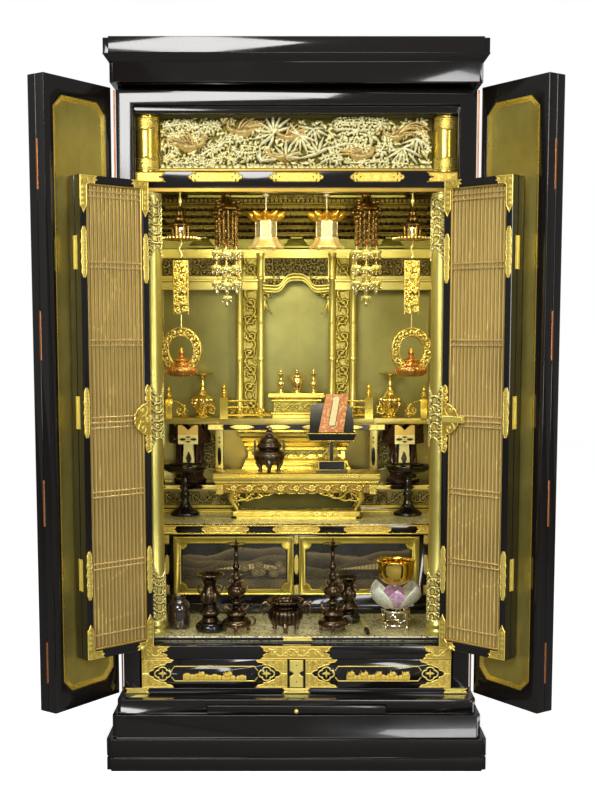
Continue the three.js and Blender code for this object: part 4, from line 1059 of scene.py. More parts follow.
rail_plates = []
for x in (-189, 0, 189):
    lobes = [(s * q, t, 1.7) for s in (-1, 1) for q, t in ((39, 0), (48, 6), (48, -6), (56, 0))]
    rail_plates += pin_plate(x, -245.6, 1391, trefoil_plate(126, 22), (126, 22),
                             arabesque(-32, 32, 0, 11, 1, 3 + x),
                             lobes)
for side in (-1, 1):
    outline = [(side * p, q) for p, q in swallow_plate(70, 22, True, False)]
    rail_plates += pin_plate(side * 341, -245.6, 1391, outline, (70, 22), arabesque(-14, 30, 0, 11, 1, 9)
                             * np.array([side, 1, 1, 1]), [(-side * 22, 0, 2)])
build("transom_rail_plates", rail_plates, plate_gold, "gilt_fittings", closed=False)


def spray(a, b, size, h, seed, petals=7):
    """A ragged blossom: short leaves of uneven length round a raised eye."""
    rng = np.random.default_rng(abs(int(seed)))
    start = 6.3 * rng.random()
    rows = [leaf(a + 0.12 * size * math.cos(w), b + 0.12 * size * math.sin(w),
                 size * (0.75 + 0.4 * rng.random()), w,
                 0.8 * size, h * (0.65 + 0.35 * rng.random()), 0.2)
                 for w in start + np.arange(petals) * 2 * np.pi / petals]
    return np.concatenate(rows + [[[a, b, 0.3 * size, h]]])


def bough(points, size, h, seed, spread=0.8):
    """A bough of ragged blossom clusters along a line, with its branch between them."""
    rng = np.random.default_rng(abs(int(seed)))
    points = np.asarray(points, float)
    length = np.hypot(*np.diff(points, axis=0).T).sum()
    count = max(2, int(length / size * 1.1))
    rows = []
    for t in (np.arange(count) + 0.5) / count:
        a = np.interp(t * (len(points) - 1), np.arange(len(points)), points[:, 0])
        b = np.interp(t * (len(points) - 1), np.arange(len(points)), points[:, 1])
        for off in (-0.5, 0.5):
            s = size * (0.75 + 0.5 * rng.random())
            rows.append(spray(a + (rng.random() - 0.5) * size * 0.7, b + off * spread * size, s,
                              h * (0.7 + 0.3 * rng.random()), 1000 * rng.random(), 6))
    rows.append(stroke(points, 0.34 * size, 0.2 * size, 0.9 * h, None, 14 * len(points)))
    return np.concatenate(rows)


def thicket(a0, a1, b0, b1, size, h, seed):
    """Undergrowth that fills a field: small leaf sprays, each at its own depth."""
    rng = np.random.default_rng(seed)
    rows = []
    for a in np.arange(a0 + size / 2, a1, size):
        for b in np.arange(b0 + size / 2, b1, size):
            x, y = a + size * (rng.random() - 0.5), b + size * (rng.random() - 0.5)
            deep, w = h * (0.5 + 0.5 * rng.random()), 6.3 * rng.random()
            rows.append(leaf(x, y, 1.2 * size, w, 0.7 * size, deep))
            rows.append(leaf(x, y, size, w + 1.1, 0.6 * size, 0.9 * deep))
            if rng.random() < 0.4:
                rows.append(spray(x, y, 0.6 * size, 1.2 * deep, 1000 * rng.random(), 5))
    return np.concatenate(rows)


def fan(a, b, length, start, stop, count, width, h, seed):
    """A tuft of bamboo: straight pointed leaves fanned out from one joint."""
    rng = np.random.default_rng(abs(int(seed)))
    return np.concatenate([leaf(a, b, length * (0.7 + 0.5 * rng.random()), w, width,
                                h * (0.7 + 0.3 * rng.random()), 0.06)
                           for w in np.linspace(start, stop, count)])


def bird(a, b, size, way, h, wing=1.0):
    """A bird: plump body, curved neck, small head with a beak, raised wing feathers and a long forked tail."""
    def at(p, q):
        return a + way * p * size, b + q * size
    rows = [stroke([at(-0.5, 0.1), at(-0.05, -0.2), at(0.45, 0.05)], 0.1 * size, 0.13 * size, h, 0.27 * size,
                   16),
            stroke([at(0.4, 0.0), at(0.75, 0.1), at(0.62, 0.38)], 0.15 * size, 0.09 * size, h, None, 10),
            stroke([at(0.62, 0.38), at(0.9, 0.34)], 0.09 * size, 0.03 * size, h, None, 6)]
    for k in range(5):
        rows.append(stroke([at(0.15 - 0.1 * k, 0.1), at(0.05 - 0.2 * k, wing * (0.55 - 0.05 * k)),
                            at(-0.25 - 0.22 * k, wing * (0.85 - 0.14 * k))], 0.1 * size, 0.03 * size, 0.8 * h,
                            0.1 * size, 12))
    for k in range(3):
        rows.append(stroke([at(-0.45, 0.08), at(-0.8, 0.05 + 0.1 * k), at(-1.15, 0.12 + 0.22 * k)],
                           0.1 * size,
                           0.03 * size, 0.7 * h, None, 12))
    return np.concatenate(rows)


def surf(a0, a1, b, size, h, seed):
    """Rocks and waves: overlapping humps, each with a rolled crest."""
    rng = np.random.default_rng(abs(int(seed)))
    rows = []
    for a in np.arange(a0, a1, size * 0.8):
        r = size * (0.55 + 0.3 * rng.random())
        rows.append([[a, b, r, h * 0.6]])
        rows.append(curl(a, b + 0.5 * r, 0.5 * r, 2.6, 1, h * 0.8, 0.8, 0.22))
    return np.concatenate([np.asarray(r, float) for r in rows])


def transom_foliage():
    rows = [thicket(-318, 318, 14, 124, 21, 12, 40),
            bough([(-312, 106), (-262, 112), (-228, 100), (-178, 110)], 12, 22, 1),
            bough([(-300, 84), (-262, 90), (-214, 76)], 11, 19, 21),
            bough([(-296, 20), (-240, 26), (-196, 18)], 11, 20, 22),
            bough([(-118, 108), (-84, 96), (-70, 76)], 11, 20, 23),
            bough([(92, 112), (150, 118), (210, 112)], 13, 26, 24),
            bough([(-150, 52), (-118, 40), (-84, 50)], 12, 22, 25),
            bough([(60, 24), (88, 40), (104, 30)], 12, 24, 26),
            bough([(-222, 42), (-190, 60), (-160, 78), (-120, 84)], 11, 20, 2),
            bough([(-200, 30), (-168, 42), (-140, 30)], 9, 15, 4),
            bough([(-130, 62), (-92, 62), (-66, 48)], 11, 17, 3),
            bough([(-312, 30), (-280, 50), (-300, 72)], 9, 14, 5),
            surf(-316, -60, 9, 20, 24, 6), surf(-60, 316, 8, 18, 24, 7)]
    for a, b, length, start, stop, count in ((-52, 92, 46, 0.3, 4.3, 10), (8, 84, 44, 2.2, 6.4, 11),
                                             (-24, 34, 42, 0.0, 3.1, 9),
                                             (52, 46, 38, 0.4, 3.4, 8), (40, 100, 34, 2.9, 6.4, 8),
                                             (250, 56, 44, 3.3, 6.6, 10),
                                             (284, 78, 40, 3.4, 5.6, 7), (-84, 26, 32, 0.1, 2.0, 6)):
        rows.append(fan(a, b, length, start, stop, count, 12, 25, int(a) % 97))
    rows += [bough([(96, 98), (140, 104), (176, 88)], 15, 26, 8, 1.0),
             bough([(84, 56), (120, 74), (168, 60)], 14, 24, 9, 1.0),
             bough([(196, 48), (214, 66), (206, 88)], 14, 25, 10, 0.8),
             bough([(282, 104), (306, 80), (308, 44)], 11, 20, 11),
             bough([(118, 24), (170, 20), (214, 30)], 12, 18, 12), bough([(228, 22), (262, 26)], 11, 18, 13)]
    return np.concatenate(rows)


def transom_birds():
    rows = [bird(-252, 62, 52, 1, 26), bird(-128, 96, 50, -1, 27, 0.8), bird(-38, 38, 40, -1, 26, -0.5),
            bird(-16, 84, 44, -1, 27, 0.9),
            bird(150, 40, 46, 1, 26, 0.7), bird(232, 84, 40, -1, 27, 0.7)]
    for k in range(3):
        rows.append(stroke([(240, 88), (276 + 5 * k, 134 - 7 * k), (314 - 6 * k, 98 - 10 * k)], 5, 2, 24, 5,
                           34))
    return np.concatenate(rows)


carved_gilt = worked_gold("carved_gilt", (0.05, 0.035, 0.0037), (0.36, 0.28, 0.0341), (0.82, 0.68, 0.124),
                          0.45, 0.36, 160.0)
transom_gilt = worked_gold("transom_gilt", (0.05, 0.035, 0.006), (0.84, 0.73, 0.25), (1.0, 0.98, 0.64), 0.3,
                           0.34, 160.0)
# A dark gold used only as painted shadow: on the board behind the transom carving and behind the altar table's lower
# apron.
painted_shade_gold = leaf_gold("deep_gold_ground", (0.13, 0.11, 0.0186), (0.07, 0.06, 0.0093), 0.5)
tan_gilt = worked_gold("bird_gilt", (0.1, 0.06, 0.0155), (0.4, 0.26, 0.0744), (0.78, 0.58, 0.2046), 0.35, 0.4,
                       260.0)
carving_at = ((0, -201.5, 1405), (1, 0, 0), (0, 0, 1), (0, -1, 0))
leaves_and_flowers = transom_foliage()
birds = transom_birds()
# Painted light and shade of the carving: painted highlights on raised parts, painted shade in the hollows, and more
# painted shade the lower the carving lies.
transom_relief_shading = painted_relief_shading(5, 1.7)
under = board(carving_at, -320, 320, 0, 127, 1.3, lambda A,
              B: np.minimum(balls(leaves_and_flowers, A, B), 27),
              tone=lambda A, B, H: transom_relief_shading(A, B, H) * np.clip(0.25 + 1.1 * H / 27, 0, 1), least=0.5)
# A dark board behind the carving: painted shadow cast by the carving.
build("transom_ground", [stick((-320, -200.9, 1468), (1, 0, 0), (0, 0, 1), (0, -1, 0), (640, 127, 0.5), 0.1)],
      painted_shade_gold, "gold_leaf")
build("transom_carving", under, transom_gilt, "gold_leaf", replaces=("transom_carving",), closed=False,
      sharp=180)
# The birds carry the same painted highlight and shade from their relief.
flock = board(carving_at, -320, 320, 0, 127, 1.3, lambda A, B: np.minimum(balls(birds, A, B), 28.3),
              tone=painted_relief_shading(5, 1.0), least=4)
build("transom_birds", flock, tan_gilt, "gold_leaf", closed=False, sharp=180)

# Deck, steps and shelf: black lacquer with gilt edges. The deck and the shelf are strewn with large gold flakes; the
# fronts of the little cupboard carry painted pictures in gilt frames with scalloped corners.


def flaked(name, ground, flake, size=420.0, amount=0.42):
    """Lacquer strewn with square gold flakes: cells of a fine mosaic, some of them gold, at random."""
    material, tree, shader = new_material(name)
    place = object_place(tree)
    cells = shader_node(tree, "TexVoronoi", {"Vector": place, "Scale": size, "Randomness": 1.0})
    chosen = shader_node(tree, "SeparateColor", {"Color": cells.outputs["Color"]})
    drift = shader_node(tree, "TexNoise", {"Vector": place, "Scale": 14.0, "Detail": 2.0})
    limit = shader_node(tree, "MapRange", {"Value": drift.outputs["Fac"], "From Min": 0.3, "From Max": 0.7,
                                           "To Min": amount + 0.1, "To Max": amount - 0.1})
    gold = shader_node(tree, "Math", {0: chosen.outputs["Red"], 1: limit.outputs["Result"]},
                       operation="GREATER_THAN")
    shade = shader_node(tree, "Mix",
                        {"Factor": chosen.outputs["Green"], "A": flake,
                         "B": tuple(0.62 * v for v in flake[:3]) + (1,)},
                        data_type="RGBA")
    mixed = shader_node(tree, "Mix",
                        {"Factor": gold.outputs["Value"], "A": ground, "B": shade.outputs["Result"]},
                        data_type="RGBA")
    tree.links.new(mixed.outputs["Result"], shader.inputs["Base Color"])
    dull = shader_node(tree, "Math", {0: gold.outputs["Value"], 1: 0.35}, operation="MULTIPLY")
    tree.links.new(dull.outputs["Value"], shader.inputs["Metallic"])
    shader.inputs["Roughness"].default_value = 0.4
    shader.inputs["Coat Weight"].default_value = 0.4
    shader.inputs["Coat Roughness"].default_value = 0.05
    return material


deck_flakes = flaked("deck_gold_flakes", (0.16, 0.12, 0.04, 1), (0.92, 0.84, 0.4, 1), 260.0, 0.26)
eased("deck", deck_flakes, 1.5, "gold_speckle", 3)
eased("upper_shelf", body_black, 1.2, "lacquer_body", 3)
shelf_top = stick((-376, 168, 534.1), (1, 0, 0), (0, 1, 0), (0, 0, 1), (752, 316, 0.8), 0.3)
build("upper_shelf_flakes", [shelf_top], deck_flakes, "gold_speckle")
eased("cupboard_front", body_black, 0.8, "lacquer_body")

trim = [stick((-376, 8.4, 529.5), (1, 0, 0), (0, 0, 1), (0, -1, 0), (752, 3.4, 1.6), 0.5),
        stick((-376, 8.4, 508.2), (1, 0, 0), (0, 0, 1), (0, -1, 0), (752, 3.0, 1.6), 0.5)]
build("shelf_gilt_lines", trim, bright_leaf, "gold_leaf")
build("deck_black_edge", [stick((-374, -240, 291), (1, 0, 0), (0, 0, 1), (0, -1, 0), (748, 12.6, 9.2), 3)],
      body_black, "lacquer_body")
shelf_plates = []
for x in (-186, 0, 186):
    shelf_plates += pin_plate(x, 9.9, 519, trefoil_plate(124, 19), (124, 19),
                              arabesque(-34, 34, 0, 9, 1, 31 + x),
                              [(s * q, t, 1.4) for s in (-1, 1) for q, t in ((42, 0), (49, 5), (49, -5))])
for side in (-1, 1):
    tail = [(side * p, q) for p, q in swallow_plate(62, 18, True, False)]
    shelf_plates += pin_plate(side * 343, 9.9, 519, tail, (62, 18),
                              arabesque(-20, 26, 0, 9, 1, 71) * np.array([side, 1, 1, 1]), [])
build("shelf_rail_plates", shelf_plates, plate_gold, "gilt_fittings", closed=False)


def scooped(u0, u1, z0, z1, r):
    """A rectangle whose corners are cut by inward quarter rounds with a small point in each."""
    t = np.linspace(0, np.pi / 2, 9)
    points = []
    for cx, cz, turn in ((u1, z0, 0.5 * np.pi), (u1, z1, np.pi), (u0, z1, 1.5 * np.pi), (u0, z0, 0.0)):
        w = turn + np.pi / 2 - t
        points += list(zip(cx + r * np.cos(w), cz + r * np.sin(w)))
    return points


def picture(seed):
    """Tone of a sprinkled-gold landscape: ridges fading into mist, a bank, a thatched roof, trees and ripples."""
    rng = np.random.default_rng(seed)

    def tone(A, B, H):
        u, v = A / 137, B / 60
        value = np.zeros_like(A)
        for k in range(3):
            p, q = rng.uniform(0, 6.3, 2)
            ridge = 0.62 - 0.26 * k + 0.2 * np.sin(2.2 * u + p) + 0.07 * np.sin(7 * u + q)
            value = np.maximum(value,
                               (0.5 - 0.08 * k) * np.exp(-np.clip(ridge - v, 0, None) * 3.4) * (v < ridge))
        s = 1 if seed % 2 else -1
        roof = 0.12 - 0.34 * np.abs(s * u - 0.42) - v
        value = np.where((roof > 0) & (v > -0.16), 0.55 + 0.25 * (np.sin(90 * u) > 0), value)
        for _ in range(9):
            a, b, r = rng.uniform(0.1, 0.95), rng.uniform(-0.35, 0.3), rng.uniform(0.05, 0.12)
            near = np.hypot(s * u - a, (v - b) * 0.5) / r
            value = np.where(near < 1, 0.34 + 0.4 * (np.sin(60 * u + 50 * v) > 0.3) * (1 - near), value)
        ripple = (np.sin(70 * v + 3 * np.sin(5 * u)) > 0.86) & (v < -0.35)
        return np.where(ripple, 0.4, np.where(v < -0.6, 0.28 + 0.1 * np.sin(9 * u), value))
    return tone


painted_gold = worked_gold("painted_picture", (0.004, 0.004, 0.003), (0.13, 0.1, 0.04), (0.6, 0.45, 0.15),
                           0.0, 0.3, 900.0, 0.0)
old_gilt = leaf_gold("frame_gold_leaf", (0.62, 0.49, 0.0868), (0.48, 0.36, 0.0496), 0.32)
frames, pictures, post_plates = [], [], []
for side in (-1, 1):
    inner_line = [(side * u, z) for u, z in scooped(24, 302, 360, 480, 17)]
    outer_line = [(side * u, z) for u, z in scooped(8, 322, 344, 499, 0.01)]
    place = ((0, 20, 0), (1, 0, 0), (0, 0, 1), (0, -1, 0))
    frames.append(ring(place, outer_line, inner_line,
                       [(0, 0), (0, 6.5), (0.14, 7), (0.3, 4.6), (0.72, 4.2), (0.8, 6),
                                                       (0.95, 5.4), (1, 0)]))
    pictures += board(((side * 163, 24.9, 420), (1, 0, 0), (0, 0, 1), (0, -1, 0)), -137, 137, -59.5, 59.5,
                      1.2,
                      lambda A, B: 0.3 + 0 * A, tone=picture(4 + side))
for x in (-340, 0, 340):
    wave = np.linspace(-1, 1, 25)
    half = 5.6 * (0.3 + 0.7 * (1 - np.abs(wave) ** 8)) * (1 - 0.25 * np.abs(np.sin(2.5 * np.pi * wave))
                                                          * (np.abs(wave) > 0.6))
    edge = [(h, 26 * v) for h, v in zip(half, wave)]
    post_plates += pin_plate(x, 19.8, 424, edge + [(-h, v) for h, v in edge[::-1]], (13, 54), None, [])
    for z, t in ((486, 1), (362, -1)):
        notch = [(-6, t * 18), (6, t * 18), (6, t * -8), (3, t * -5), (0, t * -9), (-3, t * -5), (-6, t * -8)]
        post_plates += pin_plate(x, 19.8, z, notch, (13, 40), None, [(0, t * 6, 1.3)])
for x in (-285, -150, -60, 60, 150, 285):
    post_plates += pin_plate(x, 9.8, 309.5, swallow_plate(46, 13), (46, 14), None,
                             [(-15, 0, 1.2), (15, 0, 1.2)])
build("cupboard_gilt_frames", frames, old_gilt, "gold_leaf", closed=False)
build("cupboard_pictures", pictures, painted_gold, "lacquer_body", closed=False)
aged_plate = worked_gold("aged_plate", (0.06, 0.035, 0.008), (0.36, 0.25, 0.045), (0.7, 0.54, 0.13), 0.6, 0.4,
                         300.0)
build("cupboard_plates", post_plates, aged_plate, "gilt_fittings", closed=False)

# Lower dais and the raised stage: black rails with gilt plates over a carved and gilded frieze, gilt posts with a
# black inset, green-gold boards at the sides and a stepped gilt pedestal under the palace.


def block(x0, x1, y0, y1, z0, z1, ease=0.6):
    return stick((x0, (y0 + y1) / 2, z0), (1, 0, 0), (0, 1, 0), (0, 0, 1), (x1 - x0, y1 - y0, z1 - z0), ease)


def stepped(x0, x1, y0, y1, profile, chamfer=0.0, rounds=0):
    """A moulded box: a loop round the rectangle for every (inset, height) of the profile, closed above and below."""
    line = rounded(profile, rounds) if rounds else np.asarray(profile, float)
    c = max(chamfer, 0.01)
    corner = [(x0, y0, 1, 1), (x1, y0, -1, 1), (x1, y1, -1, -1), (x0, y1, 1, -1)]
    loop = []
    for n, (x, y, p, q) in enumerate(corner):
        pair = [(x, y + q * c, p, q), (x + p * c, y, p, q)]
        loop += pair if n % 2 == 0 else pair[::-1]
    loop = np.asarray(loop, float)
    rows = [np.column_stack([loop[:, 0] + d * loop[:, 2], loop[:, 1] + d * loop[:, 3], np.full(8, z)]) for d,
            z in line]
    middle = np.array([(x0 + x1) / 2, (y0 + y1) / 2, 0])
    cap = [np.broadcast_to(middle + (0, 0, line[k, 1]), (8, 3)) for k in (0, -1)]
    return sheet(np.stack([cap[0], *rows, cap[1]]), False, True)


def foliage(a0, a1, b0, b1, size, h, seed):
    """A field filled with scrolls and leaves, each a little out of line with the next."""
    rng = np.random.default_rng(seed)
    rows = []
    across, up = max(1, round((a1 - a0) / (1.35 * size))), max(1, round((b1 - b0) / (1.2 * size)))
    for i in range(across):
        for j in range(up):
            a = a0 + (i + 0.5 + 0.25 * (rng.random() - 0.5)) * (a1 - a0) / across
            b = b0 + (j + 0.5 + 0.25 * (rng.random() - 0.5)) * (b1 - b0) / up
            hand = 1 if (i + j) % 2 else -1
            rows.append(curl(a, b, size * (0.55 + 0.15 * rng.random()), 6.3 * rng.random(), hand,
                             h * (0.75 + 0.25 * rng.random())))
            for _ in range(3):
                w = 6.3 * rng.random()
                rows.append(leaf(a + 0.4 * size * math.cos(w), b + 0.4 * size * math.sin(w), size * 0.6,
                                 w + 0.6 * hand,
                                 size * 0.24, h * 0.7, 0.3 * hand))
    return np.concatenate(rows)


def within(a0, a1, b0, b1, height, ground=0.0):
    """A height kept inside a rectangle, over a thin ground where one is given."""
    def kept(A, B):
        inside = (A >= a0) & (A <= a1) & (B >= b0) & (B <= b1)
        return np.where(inside, np.maximum(height(A, B), ground), 0)
    return kept


def relief(rows, cap=99.0):
    return lambda A, B: np.minimum(balls(rows, A, B), cap)


dull_gilt = worked_gold("dull_carved_gilt", (0.012, 0.009, 0.003), (0.13, 0.095, 0.0136), (0.42, 0.33, 0.062),
                        0.4, 0.38, 200.0)
eased("lower_dais", body_black, 0.8, "lacquer_body")
gilt_trim = []
for z, high in ((535, 5), (548, 4), (596, 3)):
    gilt_trim.append(block(-374, 374, 213.5, 217, z, z + high, 0.8))
for z, depth in ((540, 6), (551, 3)):
    gilt_trim.append(block(-374, 374, 214 - 0.3 * depth, 217, z, z + 5, 1.5))
build("dais_mouldings", gilt_trim, old_gilt, "gold_leaf")
dais_rows = arabesque(-370, 370, 576, 21, 7, 12)
# The band's tone is painted light: painted shade in the hollows, painted highlights on the raised scrolls.
dais_band = board(((0, 216.8, 0), (1, 0, 0), (0, 0, 1), (0, -1, 0)), -370, 370, 556, 596, 1.2,
                  within(-370, 370, 556.5, 595, relief(dais_rows), 0.4), tone=painted_relief_shading(4, 1.4))
build("dais_carved_band", dais_band, dull_gilt, "gold_leaf", closed=False, sharp=180)
dais_plates = []
for side in (-1, 1):
    dais_plates += pin_plate(side * 236, 215.8, 605, swallow_plate(56, 12), (56, 13), None,
                             [(-18, 0, 1.2), (18, 0, 1.2)])
    dais_plates += pin_plate(side * 345, 215.8, 605, swallow_plate(50, 12), (50, 13), None,
                             [(-18, 0, 1.2), (18, 0, 1.2)])
eased("stage", lining_gold, 1.0, "gold_leaf")
for x in (-150, -50, 50, 150):
    lens = [(34 * math.cos(w) * (1 - 0.1 * abs(math.sin(3 * w))), 6.4 * math.sin(w))
            for w in np.linspace(0, 2 * np.pi, 40, endpoint=False)]
    dais_plates += pin_plate(x, 219.2, 771.5, lens, (70, 15), None, [(-24, 0, 1.1), (24, 0, 1.1)])
build("stage_rail", [block(-202, 202, 219.5, 232, 764, 779, 1)], body_black, "lacquer_body")
for side in (-1, 1):
    outline = [(side * p, q) for p, q in swallow_plate(44, 14, True, False)]
    dais_plates += pin_plate(side * 226 - side * 4, 219.2, 771.5, outline, (46, 16), None, [(0, 0, 1.3)])
build("dais_plates", dais_plates, plate_gold, "gilt_fittings", closed=False)
insets, nails = [], []
for side in (-1, 1):
    x = side * 213
    t = np.linspace(0, 2 * np.pi, 32, endpoint=False)
    capsule_line = [(4.6 * math.cos(w), 25 * np.sign(math.sin(w)) * abs(math.sin(w)) ** 0.55) for w in t]
    insets += board(((x, 221.4, 690), (1, 0, 0), (0, 0, 1), (0, -1, 0)), -6, 6, -28, 28, 0.8,
                    lambda A, B: 0.5 * (inside_outline(A, B, capsule_line) > 0))
    for z in (650, 730, 742):
        nails += board(((x, 221.4, z), (1, 0, 0), (0, 0, 1), (0, -1, 0)), -2.4, 2.4, -2.4, 2.4, 0.6,
                       relief([[0, 0, 2, 1]]))
build("stage_post_insets", insets + nails, body_black, "lacquer_body", closed=False)

tiers = [(0, 612), (0, 624), (4, 627), (4, 634), (12, 640), (14, 648), (22, 654), (26, 662), (34, 668),
         (34, 674), (46, 680),
         (48, 700), (40, 704), (40, 711), (30, 716), (28, 724), (18, 730), (16, 738), (8, 744), (6, 752),
         (0, 756), (0, 763)]
pedestal = stepped(-164, 164, 247, 327, [(max(0.6 * d, 0), z) for d, z in tiers])
# The carving's tone is painted light: painted shade in the hollows, painted highlights on the raised scrolls.
pedestal_carving = board(((0, 275.5, 0), (1, 0, 0), (0, 0, 1), (0, -1, 0)), -126, 126, 678, 702, 1.1,
                         within(-126, 126, 679, 701, relief(arabesque(-124, 124, 690, 15, 5, 8)), 0.3),
                         tone=painted_relief_shading(4, 1.2))
build("stage_pedestal_gilt", [pedestal], bright_leaf, "gold_leaf", replaces=("stage_pedestal",), sharp=25)
build("stage_pedestal_carving", pedestal_carving, carved_gilt, "gold_leaf", closed=False, sharp=180)

railing = []
for side in (-1, 1):
    post = side * 200
    railing.append(stepped(post - 11, post + 11, 219.5, 241,
                           [(0, 795), (0, 850), (-1, 853), (3, 856), (6, 858)]))
    railing.append(turned(post, 230, 857,
                          [(4, 0), (8, 4), (9, 10), (5, 15), (4, 18), (6.5, 22), (6, 27), (2, 33), (0.5, 36)],
                          20))
    for s, z, stop in ((side, 843, 118), (side, 826, 132), (side, 804, 70)):
        bar = [(s * 190, z), (s * stop, z)]
        if z == 843:
            bar += [(s * (stop - k), z - 37 * math.sin(0.5 * math.pi * k / 42) ** 1.3)
                    for k in (8, 16, 24, 32, 42)]
        railing.append(rod([(a, 230, b) for a, b in bar], 2.6, 8, up=(0, 1, 0)))
    scrolls = np.concatenate([curl(s_a, s_b, s_r, s_w, side, 3) for s_a, s_b, s_r, s_w in
                              ((side * 104, 818, 13, 0.5), (side * 128, 814, 10, 3.0),
                               (side * 156, 813, 9, 1.0),
                               (side * 178, 812, 8, 2.0), (side * 82, 808, 8, 0.2),
                               (side * 236, 818, 14, 2.0),
                               (side * 262, 810, 10, 0.6))])
    railing += board(((0, 230, 0), (1, 0, 0), (0, 0, 1), (0, -1, 0)), min(side * 60, side * 280),
                     max(side * 60, side * 280),
                     797, 842, 1.0, relief(scrolls), two_sided=True)
build("stage_railing_gilt", railing, bright_leaf, "gold_leaf", replaces=("stage_railing",), closed=False)

# Palace front: turned gilt columns with engraved sleeves, carved upright strips between them, a wavy arch with a
# carved field over it, carved panels and beams over the side bays, all before a plain gilt board.
board_gold = leaf_gold("board_gold_leaf", (0.43, 0.4, 0.13), (0.32, 0.3, 0.09), 0.56)
eased("palace_back_board", board_gold, 0.5, "gold_leaf")
frame_parts = [block(-374, 374, 285, 292, 1179, 1188, 1), block(-374, 374, 283, 292, 1236, 1262, 1.5),
               block(-374, -106, 279, 292, 1148, 1172, 2), block(106, 374, 279, 292, 1148, 1172, 2),
               block(-374, -106, 276, 290, 1172, 1179, 1), block(106, 374, 276, 290, 1172, 1179, 1),
               block(-96, -88, 280, 290, 1170, 1262, 1), block(88, 96, 280, 290, 1170, 1262, 1)]
columns = []
for x in (-158.5, -99.5, 99.5, 158.5):
    shape = [(13, 0), (13, 7), (10.5, 10), (12, 14), (9.6, 18), (9.6, 380), (11.5, 383), (11.5, 388),
             (9.6, 391), (9.6, 440), (12, 446), (12, 456)]
    columns.append(turned(x, 284, 795, shape, 28, 1))
    # The sleeves' tone is painted light: painted shade in the hollows, painted highlights on the raised parts.
    columns.append(wrapped(x, 284, 9.6, 951, 1062, 1.1, sheath(9.6, 951, 1062, 10, 10, 4, 0.7, 0.7, 8, 3),
                           painted_relief_shading(2, 1.5)))
arch = np.linspace(-1, 1, 41)
arch_z = 1150 + 34 * np.exp(-(arch / 0.42) ** 4) + 4 * np.abs(arch) ** 3
bent = np.column_stack([arch * 92, np.full(41, 283.0), arch_z])
for dy, dz, r in ((0, 0, 5.5), (-3, 9, 3), (-2, -8, 2.4)):
    columns.append(rod(bent + (0, dy, dz), r, 10, up=(0, 1, 0)))
build("palace_columns", frame_parts + columns, pillar_gold, "gold_leaf", replaces=("palace_frame",),
      closed=False)


field_rows = foliage(-86, 86, 1160, 1240, 19, 8, 21)


def over_arch(A, B):
    line = 1150 + 34 * np.exp(-(A / 92 / 0.42) ** 4) + 4 * np.abs(A / 92) ** 3
    rows = field_rows
    return np.where((B > line + 4) & (np.abs(A) < 89), np.maximum(balls(rows, A, B), 0.5), 0)


palace_at = ((0, 288, 0), (1, 0, 0), (0, 0, 1), (0, -1, 0))
# The tone of the carved field and the side panels is painted light: painted shade in the hollows, painted highlights
# on the raised foliage.
palace_carving = board(palace_at, -90, 90, 1150, 1237, 1.1, over_arch, tone=painted_relief_shading(4, 1.3))
for side in (-1, 1):
    lo, hi = sorted((side * 168, side * 372))
    palace_carving += board(palace_at, lo, hi, 1188, 1237, 1.2,
                            within(lo, hi, 1188, 1236, relief(foliage(lo, hi, 1188, 1236, 19, 8, 30 + side)),
                                   0.5), tone=painted_relief_shading(4, 1.2))
build("palace_carved_panels", palace_carving, dull_gilt, "gold_leaf", closed=False, sharp=180)
strips = []
for side in (-1, 1):
    x = side * 129
    scroll = arabesque(812, 1232, 0, 26, 8, 17) * np.array([1, 1, 1, 1])
    # The tone of the strips and brackets is painted light: painted shade in the hollows, painted highlights on the
    # raised parts.
    strips += board(((x, 287.5, 0), (0, 0, 1), (1, 0, 0), (0, -1, 0)), 800, 1238, -20, 20, 1.1,
                    within(801, 1237, -18, 18, relief(scroll), 0.6), tone=painted_relief_shading(4, 1.3))
    strips += board(((side * 84, 286, 1102), (side * -1, 0, 0), (0, 0, 1), (0, -1, 0)), -16, 26, -34, 42, 1.0,
                    relief(np.concatenate([curl(-6, 26, 13, 0.5, 1, 4), curl(8, 34, 9, 2.0, -1, 4),
                                           curl(-8, 4, 9, 1.0, -1, 4),
                                           leaf(-12, 30, 52, -1.5, 5, 4, 0.2),
                                           leaf(-4, 20, 44, -1.1, 5, 4, -0.2),
                                           leaf(-10, 12, 34, -1.9, 5, 4, 0.2)])))
build("palace_carved_strips", strips, carved_gilt, "gold_leaf", closed=False, sharp=180)

# Bracket frieze under the ceiling: tiers of small flared blocks and rails stepping forward, with dark sheets of
# painted shadow in the gaps between, a row of teeth and long sloping eaves boards over them. The gold of the tiers is
# darkened as painted shade.


def flared(x, y, z, top, foot, high, deep):
    """A bearing block: narrow at the foot, flaring to its full width in the lower half."""
    return stepped(x - top / 2, x + top / 2, y, y + deep,
                   [((top - foot) / 2, z), ((top - foot) / 6, z + 0.35 * high),
                                                          (0, z + 0.5 * high), (0, z + high)])


